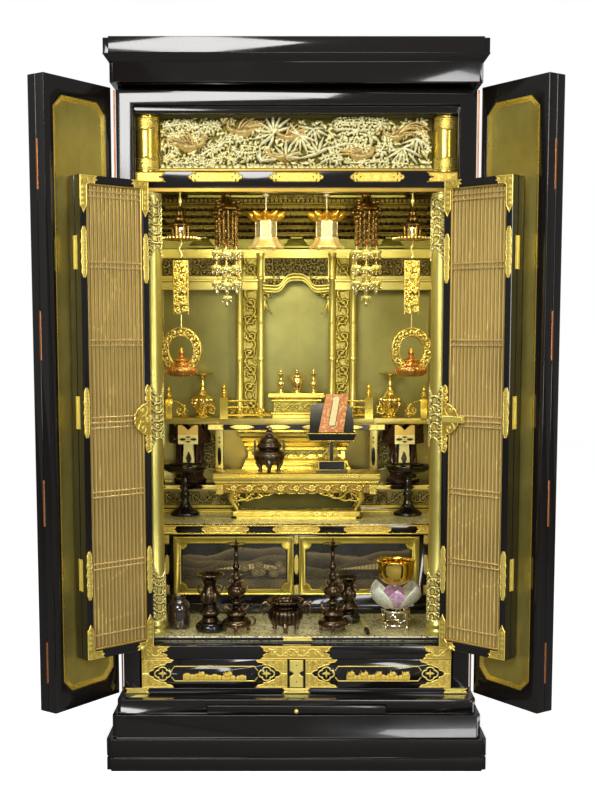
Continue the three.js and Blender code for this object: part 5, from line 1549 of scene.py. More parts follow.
# The tiers' gold is darkened as painted shade for the frieze under the ceiling; the sheets in the gaps are near-black
# painted shadow.
frieze_gold = leaf_gold("frieze_gold", (0.17, 0.125, 0.0186), (0.09, 0.065, 0.0093), 0.42)
frieze_shadow = leaf_gold("frieze_shadow", (0.02, 0.014, 0.004), (0.01, 0.007, 0.002), 0.6)
frieze_pale = leaf_gold("frieze_pale_gold", (0.36, 0.34, 0.0806), (0.26, 0.23, 0.0496), 0.42)
tier_parts = [block(-374, 374, 290, 330, 1262, 1404, 1)]
shadow_sheets = [block(-373, 373, 236, 239, 1383, 1396, 0.3)]
for k, z in enumerate((1290, 1308, 1326, 1344, 1362)):
    front = 276 - 8 * k
    tier_parts.append(block(-374, 374, front - 1, 290, z + 13, z + 17.5, 0.8))
    shadow_sheets.append(block(-373, 373, front + 9, front + 11, z, z + 13, 0.3))
    for n in range(-23, 24):
        x = n * 16 + (8 if k % 2 else 0)
        if abs(x) < 367:
            tier_parts.append(flared(x, front, z, 14.6, 4.5, 13, 9))
tier_parts += [block(x - 4, x + 4, 226, 236, 1383, 1392, 0.8) for x in np.arange(-366, 370, 12.0)]
tier_parts.append(block(-374, 374, 228, 290, 1378, 1383, 1))
build("bracket_frieze_tiers", tier_parts, frieze_gold, "gold_leaf", replaces=("bracket_frieze",))
build("bracket_frieze_gaps", shadow_sheets, frieze_shadow, "gold_leaf")
pale_parts = [stepped(x - 36, x + 36, 264, 280,
                      [(0, 1264), (0, 1269), (8, 1275), (13, 1285), (20, 1289), (20, 1292)])
              for x in (-262, 0, 262)]
for lo, hi in ((-300, -194), (-190, -84), (84, 190), (194, 300)):
    pale_parts.append(stepped(lo, hi, 226, 260, [(3, 1394), (0, 1396), (0, 1402), (6, 1405)], 6))
pale_parts.append(block(-373, 373, 288.6, 291, 1263, 1289, 0.3))
build("bracket_frieze_eaves", pale_parts, frieze_pale, "gold_leaf")
# The crest's tone is painted light: painted shade in the hollows, painted highlights on the raised foliage.
crest = board(((0, 236, 0), (1, 0, 0), (0, 0, 1), (0, -1, 0)), -82, 82, 1392, 1405, 1.0,
              within(-81, 81, 1392.5, 1404.5, relief(foliage(-80, 80, 1392, 1405, 10, 8, 51)), 2),
              tone=painted_relief_shading(4, 1.2))
build("bracket_frieze_crest", crest, dull_gilt, "gold_leaf", closed=False, sharp=180)

# Tables: the small table on the stage with two candlesticks and a censer, and the wide altar table with its moulded
# top, an apron of blossoms, a pierced lower apron and an engraved foot rail.
pale_gold = leaf_gold("table_gold_leaf", (0.86, 0.7, 0.1612), (0.68, 0.5, 0.0806), 0.28)
table = [stepped(-78, 78, 242, 276,
                 [(12, 795), (12, 803), (8, 806), (8, 810), (16, 812), (16, 838), (9, 842), (9, 846),
                  (3, 850),
                                     (0, 853), (0, 859), (2, 863)])]
shine = worked_gold("polished_brass", (0.45, 0.26, 0.062), (0.85, 0.58, 0.155), (1.0, 0.8, 0.279), 0.95, 0.14,
                    60.0, 0.1)
build("top_table_gilt", table, pale_gold, "gold_leaf", replaces=("top_table",))
# The carving's tone is painted light: painted shade in the hollows, painted highlights on the raised scrolls.
build("top_table_carving", board(((0, 257.5, 0), (1, 0, 0), (0, 0, 1), (0, -1, 0)), -61, 61, 812, 838, 1.0,
                                 within(-61, 61, 812.5, 837.5, relief(arabesque(-60, 60, 825, 15, 4, 5)),
                                        0.4), tone=painted_relief_shading(3, 1.2)),
      carved_gilt, "gold_leaf", closed=False, sharp=180)
little = [(11, 0), (11, 3), (5, 6), (4, 14), (9, 20), (11, 27), (8, 34), (4, 38), (4, 48), (8, 52), (9, 56),
          (3, 58), (2, 64), (0.6, 68)]
top_ware = [turned(x, 259, 863, little, 24) for x in (-43, 48)]
top_ware.append(turned(2, 259, 863,
                       [(13, 0), (13, 3), (8, 8), (14, 16), (17, 30), (15, 42), (10, 47), (12, 49), (6, 56),
                        (3, 60), (5, 64), (1, 69)], 28))
for s in (-1, 1):
    top_ware.append(rod([(2 + s * 15, 259, 898), (2 + s * 23, 259, 904), (2 + s * 23, 259, 915),
                         (2 + s * 16, 259, 914)], 1.6, 8, up=(0, 1, 0)))
build("top_table_ware", top_ware, shine, "gilt_fittings")
apron_gold = worked_gold("apron_gold", (0.25, 0.13, 0.0124), (0.6, 0.42, 0.0558), (0.95, 0.82, 0.186), 0.55,
                         0.3, 260.0)
top = [stepped(-223, 223, 88, 206,
               [(9, 627), (4, 631), (4, 636), (1, 638), (0, 642), (0, 647), (3, 648), (3, 650), (0.5, 652),
                                    (0.5, 655), (2, 656)]),
       block(-212, 212, 96, 200, 606, 628, 1)]
for side in (-1, 1):
    lo, hi = sorted((side * 196, side * 214))
    top.append(block(lo, hi, 94, 202, 600, 628, 1.5))
    top.append(rod([(side * 216, 100, 655), (side * 220, 100, 656)], 1, 6, up=(0, 1, 0)))
    for y in (104, 192):
        top.append(rod([(side * 170, y, 606), (side * 176, y, 590), (side * 166, y, 572),
                        (side * 158, y, 560), (side * 164, y, 549)],
                       [10, 9, 6, 5, 7], 12, up=(0, 1, 0)))
moulding = [(0, 534.3), (0, 540), (3, 542), (3, 553), (0, 555), (0, 557), (2, 558)]
foot = [stepped(*bar, moulding)
        for bar in ((-174, 174, 96, 110), (-174, 174, 186, 200), (-174, -160, 96, 200), (160, 174, 96, 200))]
# A black block in the foot and a dark gold board behind the lower apron: painted shade in the table's open parts.
build("altar_table_floor", [block(-166, 166, 104, 192, 535, 550, 0.3)], body_black, "lacquer_fittings")
painted_shadow_back = block(-150, 150, 150, 152, 556, 606, 0.3)
build("altar_table_gilt", top + foot, pale_gold, "gold_leaf", replaces=("altar_table",))
build("altar_table_back", [painted_shadow_back], painted_shade_gold, "gold_leaf")
flowers = [blossom(x, 617, 10 + 1.5 * (n % 2), 6, 7) for n, x in enumerate(np.linspace(-168, 168, 9))]
flowers += [leaf(x + s * 8, 617 + 3 * s, 14, 0.3 * s + (0 if s > 0 else np.pi), 5, 4)
            for x in np.linspace(-168, 168, 9) for s in (-1, 1)]
flowers += [blossom(s * 205, 615, 9, 5, 7) for s in (-1, 1)]
# The apron's tone is painted light: painted highlights on the raised blossoms, painted shade in the hollows and more
# of it the lower the carving lies.
apron = board(((0, 95.8, 0), (1, 0, 0), (0, 0, 1), (0, -1, 0)), -213, 213, 604, 628, 1.0,
              within(-213, 213, 604.5, 627.5, relief(np.concatenate(flowers), 7), 0.3), tone=lambda A, B,
              H: painted_relief_shading(4, 1.6)(A, B, H) * np.clip(0.15 + H / 6, 0, 1))
build("altar_table_apron", apron, apron_gold, "gold_leaf", closed=False, sharp=180)


def lower_apron(A, B):
    bottom = 604 - 20 * np.clip((np.abs(A) - 62) / 70, 0, 1) ** 0.8 - 3 * np.abs(np.sin(A / 9))
    rows = arabesque(-172, 172, 596, 18, 4, 44)
    cut = balls(rows, A, B)
    return np.where((B > bottom) & (np.abs(A) < 173), np.maximum(cut, np.where(B - bottom < 3.5, 2.2, 0)), 0)


lace = board(((0, 99, 0), (1, 0, 0), (0, 0, 1), (0, -1, 0)), -174, 174, 579, 607, 0.9, lower_apron,
             two_sided=True)
lace += board(((0, 98.6, 0), (1, 0, 0), (0, 0, 1), (0, -1, 0)), -171, 171, 541, 554, 0.9,
              within(-170, 170, 542, 553, relief(arabesque(-150, 150, 547.5, 9, 1.2, 8)), 0.3))
build("altar_table_lace", lace, pale_gold, "gold_leaf", closed=False)

# Tripod censer on the altar table: cast bronze, a squat bulb on three masked legs, upright loop handles and a domed
# lid with a small crouching beast.


def blob(centre, radii, n=14, m=10):
    """An ellipsoid given by its centre and three radii."""
    w = np.linspace(0, 2 * np.pi, n, endpoint=False)
    v = np.linspace(0, np.pi, m)[:, None]
    unit = np.stack([np.sin(v) * np.cos(w), np.sin(v) * np.sin(w), np.cos(v) + 0 * w], -1)
    return sheet(np.asarray(centre, float) + unit * np.asarray(radii, float), False, True)


def aged_metal(name, dark, bright, rough, metallic=0.9, scale=55.0):
    """Cast and patinated metal: brown or black in the hollows, rubbed brighter on the high parts."""
    material, tree, shader = new_material(name)
    place = object_place(tree)
    cloud = shader_node(tree, "TexNoise", {"Vector": place, "Scale": scale, "Detail": 5.0, "Roughness": 0.65})
    edge = shader_node(tree, "NewGeometry")
    worn_edge = shader_node(tree, "MapRange",
                            {"Value": edge.outputs["Pointiness"], "From Min": 0.47, "From Max": 0.56})
    mix = shader_node(tree, "Math", {0: cloud.outputs["Fac"], 1: worn_edge.outputs["Result"]},
                      operation="MULTIPLY")
    tree.links.new(ramp(tree, mix.outputs["Value"], (0.1, dark), (0.55, bright)), shader.inputs["Base Color"])
    shader.inputs["Metallic"].default_value = metallic
    rub = place_group(tree, rubbed, {"Place": place, "Low": rough - 0.06, "High": rough + 0.1, "Scale": 25.0})
    tree.links.new(rub.outputs["Roughness"], shader.inputs["Roughness"])
    fine = shader_node(tree, "TexNoise", {"Vector": place, "Scale": 340.0, "Detail": 3.0})
    bump = shader_node(tree, "Bump", {"Height": fine.outputs["Fac"], "Strength": 0.3, "Distance": 0.0006})
    tree.links.new(bump.outputs["Normal"], shader.inputs["Normal"])
    return material


bronze_dark = aged_metal("censer_bronze", (0.035, 0.022, 0.016), (0.2, 0.15, 0.11), 0.26)
x, y, z = -73, 128, 656.4
pot = [turned(x, y, z, [(14, 20), (30, 22), (40, 34), (42, 46), (38, 56), (30, 60), (28, 64), (33, 68),
                        (34, 73), (31, 76)], 48)]
pot.append(turned(x, y, z, [(30, 76), (30, 79), (25, 82), (23, 90), (16, 96), (12, 97), (12, 101), (4, 103)],
                  40))
pot.append(turned(x, y, z, [(36, 44), (43, 46), (43, 50), (37, 52)], 12, 1, 12, 0.03))
for k in range(3):
    w = -np.pi / 2 + 2 * np.pi * k / 3
    c, s = math.cos(w), math.sin(w)
    pot.append(rod([(x + r * c, y + r * s, z + h) for r,
                    h in ((30, 34), (33, 24), (29, 12), (27, 5), (30, 0.2))], [9, 9.5, 6, 4.5, 6], 12,
                   up=(-s, c, 0)))
for s in (-1, 1):
    pot.append(rod([(x + s * 37, y, z + 50), (x + s * 39, y, z + 60), (x + s * 38.5, y, z + 88)], [3, 3, 2.4],
                   8, up=(0, 1, 0)))
pot += [blob((x, y, z + 107), (9, 13, 8)), blob((x + 2, y - 10, z + 116), (6.5, 6.5, 7)),
        blob((x, y + 10, z + 115), (4, 5, 9)),
        blob((x - 5, y - 9, z + 104), (3, 3, 5)), blob((x + 6, y - 9, z + 104), (3, 3, 5)),
        blob((x + 1, y - 3, z + 112), (6, 6, 7))]
build("tripod_censer_bronze", pot, bronze_dark, "bronze", replaces=("tripod_censer",), sharp=50)

# Reading stand and book: a black-lacquered foot, a post between openwork brackets, a ledge like a shallow tray and a
# leaning board with cut shoulders, all edged with gold lines. The folded book has brocade covers.
stand_black = lacquer("stand_black_lacquer", (0.005, 0.004, 0.0035), 0.12, 0.26)
x, y, z = 95, 150, 656.4


def leaning(rows, thick):
    """A board that leans back at 62 degrees: rows of (x0, x1, height up the slope) give its outline."""
    lean, rise = math.cos(math.radians(62)), math.sin(math.radians(62))
    front = np.array([[(x0, y - 20 + lean * s, z + 106 + rise * s),
                       (x1, y - 20 + lean * s, z + 106 + rise * s)] for x0, x1, s in rows])
    behind = front + np.array([0, rise * thick, -lean * thick])
    loop = np.stack([front[:, 0], front[:, 1], behind[:, 1], behind[:, 0]], 1)
    caps = [np.broadcast_to(loop[k].mean(0), (4, 3)) for k in (0, -1)]
    return sheet(np.stack([caps[0], *loop, caps[1]]), False, True)


lectern = [stepped(x - 42, x + 42, y - 28, y + 28, [(0, z), (0, z + 6), (2, z + 8), (7, z + 9), (7, z + 30)]),
           block(x - 4, x + 4, y - 5, y + 5, z + 29, z + 90, 0.8),
           stepped(x - 66, x + 66, y - 38, y + 12,
                   [(6, z + 84), (0, z + 103), (0, z + 106), (3, z + 106), (5, z + 100)]),
           leaning([(x - 60, x + 60, 0), (x - 57, x + 57, 70), (x - 56, x + 56, 76), (x - 50, x + 50, 78),
                    (x - 48, x + 48, 84), (x - 42, x + 42, 88)], 7)]
build("reading_stand_lacquer", lectern, stand_black, "lacquer_fittings", replaces=("reading_stand",),
      sharp=30)
edging = [rod([(x - 64, y - 38.3, z + 105.6), (x + 64, y - 38.3, z + 105.6)], 1, 6),
          rod([(x - 59, y - 33, z + 85.5), (x + 59, y - 33, z + 85.5)], 0.9, 6),
          rod([(x - 34.6, y - 22, z + 29.6), (x + 34.6, y - 22, z + 29.6)], 1, 6),
          rod([(x - 42, y - 28, z + 7), (x + 42, y - 28, z + 7)], 0.9, 6)]
edging += [rod([(x + s * 34.6, y - 21.8, z + 9), (x + s * 34.6, y - 21.8, z + 30)], 0.9, 6, up=(0, 1, 0))
           for s in (-1, 1)]
edging += [rod([(x + s * 60, y - 33.5, z + 86), (x + s * 65.4, y - 37.6, z + 105)], 0.9, 6, up=(0, 1, 0))
           for s in (-1, 1)]
for s in (-1, 1):
    rows = np.concatenate([curl(s * 13, 40, 8, 1.0, s, 2.4), curl(s * 11, 58, 7, 4.0, -s, 2.4),
                           curl(s * 10, 74, 6, 1.0, s, 2.4),
                           leaf(s * 6, 32, 26, 1.2 if s > 0 else 1.9, 5, 2.4, 0.3 * s),
                           leaf(s * 20, 48, 26, 1.9 if s > 0 else 1.2, 5, 2.4, 0.3 * s)])
    edging += board(((x, y, z), (1, 0, 0), (0, 0, 1), (0, -1, 0)), min(0, s * 28), max(0, s * 28), 29, 84,
                    0.8, relief(rows), two_sided=True)
build("reading_stand_gilding", edging, pale_gold, "gilt_fittings", closed=False)

paper, tree, shader = new_material("brocade_paper")
place = object_place(tree)
clouds = shader_node(tree, "TexVoronoi", {"Vector": place, "Scale": 210.0}, feature="SMOOTH_F1")
cloth = ramp(tree, clouds.outputs["Distance"], (0.15, (0.75, 0.3, 0.1)), (0.42, (0.5, 0.15, 0.05)),
             (0.6, (0.82, 0.5, 0.2)))
tree.links.new(cloth, shader.inputs["Base Color"])
shader.inputs["Roughness"].default_value = 0.6
cream, tree, shader = new_material("label_paper")
fibre = shader_node(tree, "TexNoise", {"Vector": object_place(tree), "Scale": 180.0, "Detail": 4.0})
tree.links.new(ramp(tree, fibre.outputs["Fac"], (0.3, (0.72, 0.64, 0.3)), (0.7, (0.85, 0.77, 0.42))),
               shader.inputs["Base Color"])
shader.inputs["Roughness"].default_value = 0.55
eased("sutra_book", paper, 1.0, "book_paper", 2)
lean = math.tan(math.radians(28))


def on_cover(share_across, share_up):
    """A point on the front cover, by its share of the width and of the height."""
    h = 100 * share_up
    left, right = x - 36 + 0.22 * h, x + 31 + 0.16 * h
    return np.array([left + share_across * (right - left), y - 33 + lean * h - 0.5, z + 108.4 + h])


def cover_strip(a0, a1, h0, h1, lift):
    corners = np.array([[on_cover(a, h) + (0, -lift, 0) for h in (h0, h1)] for a in (a0, a1)])
    return sheet(corners)


build("book_label", [cover_strip(0.36, 0.62, 0.18, 0.9, 0.5)], cream, "book_paper", closed=False,
      smooth=False)
build("book_label_border", [cover_strip(0.34, 0.64, 0.165, 0.915, 0.25)], body_black, "book_paper",
      closed=False, smooth=False)

# Side bays: hexagonal offering boxes with a cusped rim, a pale pierced band and tapered legs; before them black footed
# dishes, beside them gilt lotus jars with a dish on top.
dark_wood = lacquer("dark_fitting_lacquer", (0.055, 0.025, 0.012), 0.12, 0.3)
cream_gold = leaf_gold("cream_gold", (0.95, 0.86, 0.3224), (0.85, 0.7, 0.2232), 0.4)
ochre_gold = leaf_gold("ochre_gold", (0.85, 0.6, 0.1488), (0.7, 0.45, 0.0868), 0.36)


def facets(x, y, radius, z0, z1, step, height, which):
    """Boards on the sides of an upright hexagon; height(a, b, n) is asked for side n."""
    made = []
    apothem = radius * math.cos(math.pi / 6)
    for n in which:
        w = -np.pi / 2 + n * np.pi / 3
        normal = np.array([math.cos(w), math.sin(w), 0])
        along = np.array([-math.sin(w), math.cos(w), 0])
        made += board((np.array([x, y, 0]) + apothem * normal, along, (0, 0, 1), normal), -radius / 2,
                      radius / 2, z0, z1, step,
                      lambda A, B: height(A, B, n))
    return made


def rim_panel(A, B, n):
    return 1.6 * (B < 778 - 17 * np.clip(1 - np.abs(A) / 20, 0, 1) ** 1.3 - 3
                  * np.clip(np.abs(A) / 28, 0, 1) ** 4)


def pierced_band(A, B, n):
    b = B - 737
    hole = (np.hypot((np.abs(A) - 15) / 8.5, b / 3.6) < 1) | (np.hypot(A / 6.5,
            (np.abs(b) - 6.4) / 2.4) < 1) | (np.hypot(A, b) < 1.6)
    return np.where(hole, 0, 3.0)


def spade_leg(A, B, n):
    b = (B - 640) / 84
    half = 18 - 5 * b
    spade = (np.abs(A) < 2.6 + 5.5 * np.clip(1 - np.abs(b - 0.5) / 0.18, 0, 1)) & (b > 0.08) & (b < 0.72)
    spade |= np.hypot(A / 6.5, (b - 0.14) / 0.1) < 1
    return np.where((np.abs(A) < half) & ~spade, 2.4, 0)


front, others = (0,), (-2, -1, 1, 2, 3)
for name, side in (("left", -1), ("right", 1)):
    x, y = side * 300, 276
    solid = [turned(x, y, 612.4, [(44, 0), (46, 2), (46, 10), (40, 14), (36, 24), (36, 28)], 6, 0),
             turned(x, y, 612.4, [(34, 28), (30, 112), (46, 113), (54, 116), (54, 134), (46, 137), (44, 138)],
                    6, 0)]
    build(f"offering_box_{name}_core", solid, dark_wood, "lacquer_fittings",
          replaces=(f"offering_box_{name}",), sharp=20)
    dark = facets(x, y, 55, 750, 778, 1.4, rim_panel, others) + facets(x, y, 55, 724, 750, 1.2, pierced_band,
            others)
    dark += facets(x, y, 38, 640, 724, 1.4, spade_leg, others)
    build(f"offering_box_{name}_sides", dark, dark_wood, "lacquer_fittings", closed=False)
    build(f"offering_box_{name}_front", facets(x, y, 55.4, 750, 778, 1.2, rim_panel, front), ochre_gold,
          "gold_leaf", closed=False)
    pale = facets(x, y, 55.4, 724, 750, 0.9, pierced_band, front) + facets(x, y, 38.4, 640, 724, 1.0,
            spade_leg, front)
    build(f"offering_box_{name}_band", pale, cream_gold, "gold_leaf", closed=False)
    stand = turned(side * 304, 166, 534.4,
                   [(38, 0), (40, 3), (39, 8), (30, 14), (16, 24), (11, 36), (9, 48), (13, 56), (13, 62),
                    (8, 70), (7, 82),
                                           (11, 90), (9, 97), (8, 106), (14, 112), (40, 118), (55, 124),
                                           (60, 131), (61, 137), (58, 138.4),
                                           (54, 132), (30, 127), (4, 126)], 56)
    build(f"footed_stand_{name}_lacquer", [stand], stand_black, "lacquer_fittings",
          replaces=(f"footed_stand_{name}",))
    x, y, z = side * 262, 272, 795.4
    jar = [turned(x, y, z, [(22, 0), (23, 3), (12, 7), (11, 10), (20, 22), (28, 38), (29, 48), (24, 56),
                            (17, 60), (12, 70), (6, 80), (5, 87),
                            (9, 91), (5, 95), (4.4, 108), (10, 115), (29, 118), (33, 123), (32, 124.5),
                            (26, 120), (3, 118)], 40)]
    for k in range(10):
        w = 2 * np.pi * k / 10 + 0.2
        jar.append(blob((x + 25 * math.cos(w), y + 25 * math.sin(w), z + 49), (9, 9, 8)))
        jar.append(rod([(x + r * math.cos(w), y + r * math.sin(w), z + h) for r,
                        h in ((12, 10), (22, 22), (30, 40), (30, 46))],
                       [1.2, 2.2, 2.6, 1.0], 8))
    build(f"lotus_vase_{name}_gilt", jar, shine, "gilt_fittings", replaces=(f"lotus_vase_{name}",))
    # The bracket's tone is painted light: painted shade in the hollows, painted highlights on the raised foliage.
    fan_board = board(((side * 246, 300, 690), (-side, 0, 0), (0, 0, 1), (0, -1, 0)), -46, 34, -80, 60, 1.1,
                      lambda A, B: np.where((np.hypot(A - 34, B - 60) < 112) & (np.hypot(A - 34,
                              B - 60) > 26),
                                            np.maximum(balls(foliage(-46, 34, -50, 60, 22, 5, 3), A, B),
                                                       np.where(np.hypot(A - 34, B - 60) > 105, 4, 0.6)), 0),
                                                       tone=painted_relief_shading(4, 1.2))
    build(f"stage_bracket_{name}", fan_board, dull_gilt, "gold_leaf", closed=False, sharp=180)
    end_post = [stepped(side * 352 - 9, side * 352 + 9, 221, 239, [(0, 795.2), (0, 846), (3, 850)]),
                turned(side * 352, 230, 850,
                       [(4, 0), (8, 4), (9, 10), (5, 15), (4, 18), (6.5, 22), (6, 27), (2, 33), (0.5, 36)],
                       20)]
    end_post += board(((side * 322, 230, 0), (side, 0, 0), (0, 0, 1), (0, -1, 0)), -24, 22, 796, 846, 1.0,
                      relief(np.concatenate([curl(0, 818, 15, 2.0, 1, 3), curl(-14, 806, 9, 0.6, -1, 3),
                                             stroke([(20, 845), (-4, 842), (-20, 816)], 2, 2, 3)])),
                                             two_sided=True)
    build(f"railing_end_{name}", end_post, bright_leaf, "gold_leaf", closed=False)

# Hanging fittings of gilt brass: a ring lamp on each side under its canopy and pierced plaque, garlands of blossoms,
# beads and drops, and six-sided lanterns with a petal roof and a flared skirt.


def two_faced(rows, edge=None):
    """A pierced plaque: the carved strokes, with a plain rim where edge marks one."""
    def height(A, B):
        H = balls(rows, A, B)
        return H if edge is None else np.maximum(H, edge(A, B))
    return height


brass = worked_gold("hanging_brass", (0.5, 0.3, 0.031), (0.95, 0.74, 0.1488), (1.0, 0.92, 0.341), 0.7, 0.26,
                    300.0, 0.3)
red_brass = worked_gold("canopy_brass", (0.12, 0.035, 0.0074), (0.42, 0.16, 0.0372), (0.7, 0.36, 0.0868), 0.8,
                        0.26, 200.0, 0.2)
crown_brown = aged_metal("garland_crown", (0.03, 0.018, 0.006), (0.24, 0.14, 0.035), 0.3)
red_glass, tree, shader = new_material("red_beads")
shader.inputs["Base Color"].default_value = (0.38, 0.03, 0.015, 1)
shader.inputs["Roughness"].default_value = 0.1
lantern_pale = worked_gold("lantern_panel", (0.3, 0.22, 0.062), (0.66, 0.56, 0.2108), (0.85, 0.76, 0.52), 0.4,
                           0.3, 300.0, 0.3)
petal_orange = leaf_gold("lantern_petal", (0.95, 0.62, 0.0992), (0.8, 0.44, 0.0496), 0.3)
# The skirt glows a little though the lantern holds no lamp: the emission is a painted highlight on its flare.
lantern_skirt_glow_highlight, tree, shader = new_material("lantern_skirt")
warm = ramp(tree, shader_node(tree, "TexNoise",
                              {"Vector": object_place(tree), "Scale": 30.0, "Detail": 3.0}).outputs["Fac"],
            (0.35, (0.9, 0.56, 0.12)), (0.62, (1.0, 0.86, 0.4)))
tree.links.new(warm, shader.inputs["Base Color"])
tree.links.new(warm, shader.inputs["Emission Color"])
shader.inputs["Emission Strength"].default_value = 0.22
shader.inputs["Metallic"].default_value = 0.5
shader.inputs["Roughness"].default_value = 0.22
silver = worked_gold("bright_tin", (0.5, 0.42, 0.3), (0.85, 0.74, 0.2604), (1.0, 0.95, 0.72), 0.95, 0.14,
                     400.0, 0.2)


def drop_flower(centre, size):
    """A pendant blossom of sheet metal: an umbrella of petals that droop from the middle, over a small drop."""
    petals = [blob((centre[0] + 0.55 * size * math.cos(w), centre[1] + 0.55 * size * math.sin(w),
                    centre[2] - 0.22 * size),
                   (0.36 * size, 0.36 * size, 0.4 * size), 7, 6) for w in np.arange(6) * np.pi / 3]
    return petals + [blob(centre, (0.42 * size, 0.42 * size, 0.36 * size), 8, 6)]


for name, side in (("left", -1), ("right", 1)):
    x, y = side * 293, -20
    top_lamp = [rod([(x, y, h) for h in (1405, 1345, 1300)], [1.6, 1.6, 3], 10, up=(0, 1, 0)),
                turned(x, y, 1350, [(2, 0), (4, 5), (5, 12), (3, 18), (1, 24)], 16)]
    posts = [rod([(x + 19 * math.cos(w), y + 19 * math.sin(w), h) for h in (1272, 1300)], 2.6, 8,
                 up=(0, 1, 0))
             for w in np.arange(6) * np.pi / 3]
    posts += [turned(x, y, 1298,
                     [(25, 0), (26, 3), (20, 6), (12, 12), (14, 18), (8, 26), (10, 34), (5, 40), (3, 50)], 24,
                     2, 6, 0.1)]
    glass_lamp = turned(x, y, 1272, [(10, 0), (12, 2), (12, 22), (10, 25)], 24)
    canopy = turned(x, y, 1260, [(14, 0), (42, 3), (49, 6), (49, 8), (38, 10), (20, 12)], 48)
    teeth = [blob((x + 49 * math.cos(w), y + 49 * math.sin(w), 1266), (2.6, 2.6, 3.4), 7, 6)
             for w in np.arange(34) * np.pi / 17]
    chain = [rod([(x + 2.5 * math.sin(0.22 * h), y, 1262 - h) for h in range(0, 48, 4)], 2.4, 8,
                 up=(0, 1, 0))]
    plaque_rows = np.concatenate([foliage(-17, 17, 1080, 1210, 13, 6, 9) * np.array([1, 1, 1.8, 1]),
                                  stroke([(-18, 1077), (-18, 1209)], 2, 2, 4, None, 90),
                                  stroke([(18, 1077), (18, 1209)], 2, 2, 4, None, 90),
                                  stroke([(-17, 1210), (17, 1210)], 2.4, 2.4, 4, None, 30)])
    plaque = board(((x, y, 0), (1, 0, 0), (0, 0, 1), (0, -1, 0)), -21, 21, 1074, 1214, 0.8,
                   two_faced(plaque_rows), two_sided=True)
    chain.append(rod([(x, y, 1076), (x, y, 1042)], 1.6, 8, up=(0, 1, 0)))
    t = np.arange(15) * 2 * np.pi / 15
    ring_rows = np.concatenate([curl(47 * math.sin(w), 47 * math.cos(w), 9.5, 3 * w, 1 if n % 2 else -1, 8,
                                     1.15, 0.34)
                                for n, w in enumerate(t)])
    hoops = np.concatenate([np.column_stack([r * np.sin(np.linspace(0, 6.2832, 220)),
                                             r * np.cos(np.linspace(0, 6.2832, 220)),
                                             np.full(220, 2.2), np.full(220, 5.0)]) for r in (37.5, 57.0)])
    turn = side * 0.42
    hoop = board(((x, y, 985), (math.cos(turn), math.sin(turn), 0), (0, 0, 1),
                  (math.sin(turn), -math.cos(turn), 0)), -60, 60, -60, 60, 0.9,
                 two_faced(np.concatenate([ring_rows, hoops])), two_sided=True)
    dish = turned(x, y, 918.4,
                  [(14, 0), (28, 2), (37, 8), (40, 18), (37, 22), (36, 26), (20, 28), (17, 32), (16, 38),
                   (22, 40), (23, 44),
                                (10, 48), (5, 52), (9, 58), (9, 64), (4, 70), (2, 74)], 48, 2)
    ribs = [rod([(x + r * math.cos(w), y + r * math.sin(w), 918.4 + h) for r,
                 h in ((29, 3), (38, 9), (40.5, 18), (37, 25))], 1.0, 6,
                up=(-math.sin(w), math.cos(w), 0)) for w in np.arange(30) * np.pi / 15]
    build(f"ring_lamp_{name}_brass", top_lamp + teeth + chain + plaque + hoop, brass, "gilt_fittings",
          replaces=(f"ring_lamp_{name}",), closed=False)
    build(f"ring_lamp_{name}_dishes", [canopy, dish] + ribs, red_brass, "gilt_fittings")
    build(f"ring_lamp_{name}_posts", posts, crown_brown, "gilt_fittings")
    build(f"ring_lamp_{name}_chimney", [glass_lamp], silver, "gilt_fittings")

    x, y = side * 181, 60
    rng = np.random.default_rng(31)
    crown = [turned(x, y, 1338,
                    [(8, 0), (24, 4), (34, 8), (30, 16), (18, 26), (10, 40), (12, 46), (5, 56), (2, 66)], 24,
                    2, 8, 0.08)]
    for w, r, h, k in zip(6.3 * rng.random(46), 12 + 30 * rng.random(46), 1326 + 44 * rng.random(46),
                          4 + 5 * rng.random(46)):
        crown.append(blob((x + r * math.cos(w), y + r * math.sin(w), h), (k, k, 0.8 * k), 9, 7))
    curtain, strands, beads, sparkle = [], [], [], []
    for n, w in enumerate(np.arange(14) * np.pi / 7):
        px, py = x + 27 * math.cos(w), y + 27 * math.sin(w)
        curtain.append(rod([(px, py, 1340), (px, py, 1252)], 2.2, 6, up=(0, 1, 0)))
        curtain += [blob((px, py, h + 5 * (n % 2)), (4.4, 4.4, 5.5), 8, 6) for h in range(1258, 1336, 13)]
    for n in range(7):
        w = 2 * np.pi * n / 6 - np.pi / 2
        r = 30 if n < 6 else 0
        px, py = x + r * math.cos(w), y + r * math.sin(w)
        low = 1138 if n < 6 else 1106
        strands.append(rod([(px, py, 1252), (px, py, low)], 0.9, 6, up=(0, 1, 0)))
        for k, h in enumerate((1236, 1197, 1157) if n < 6 else (1244, 1180, 1124)):
            strands += drop_flower((px, py, h + 5 * (n % 2)), 15)
            beads.append(blob((px, py, h + 20), (1.3, 1.3, 4), 8, 6))
            sparkle += [blob((px + 11 * math.cos(v), py + 11 * math.sin(v), h - 10 + 4 * math.sin(3 * v)),
                             (2.6, 2.6, 4.4), 7, 6)
                        for v in np.arange(5) * 1.257 + n]
        sparkle.append(blob((px, py, low - 3), (4, 4, 7), 8, 6))
        sparkle.append(blob((x + 0.9 * (px - x), y + 0.9 * (py - y), 1290 + 9 * n), (2.4, 2.4, 3), 7, 6))
    build(f"garland_{name}_crown", crown, crown_brown, "gilt_fittings", replaces=(f"garland_{name}",))
    build(f"garland_{name}_curtain", curtain, crown_brown, "gilt_fittings")
    build(f"garland_{name}_blossoms", strands, brass, "gilt_fittings")
    build(f"garland_{name}_drops", sparkle, silver, "gilt_fittings")
    build(f"garland_{name}_beads", beads, red_glass, "gilt_fittings")

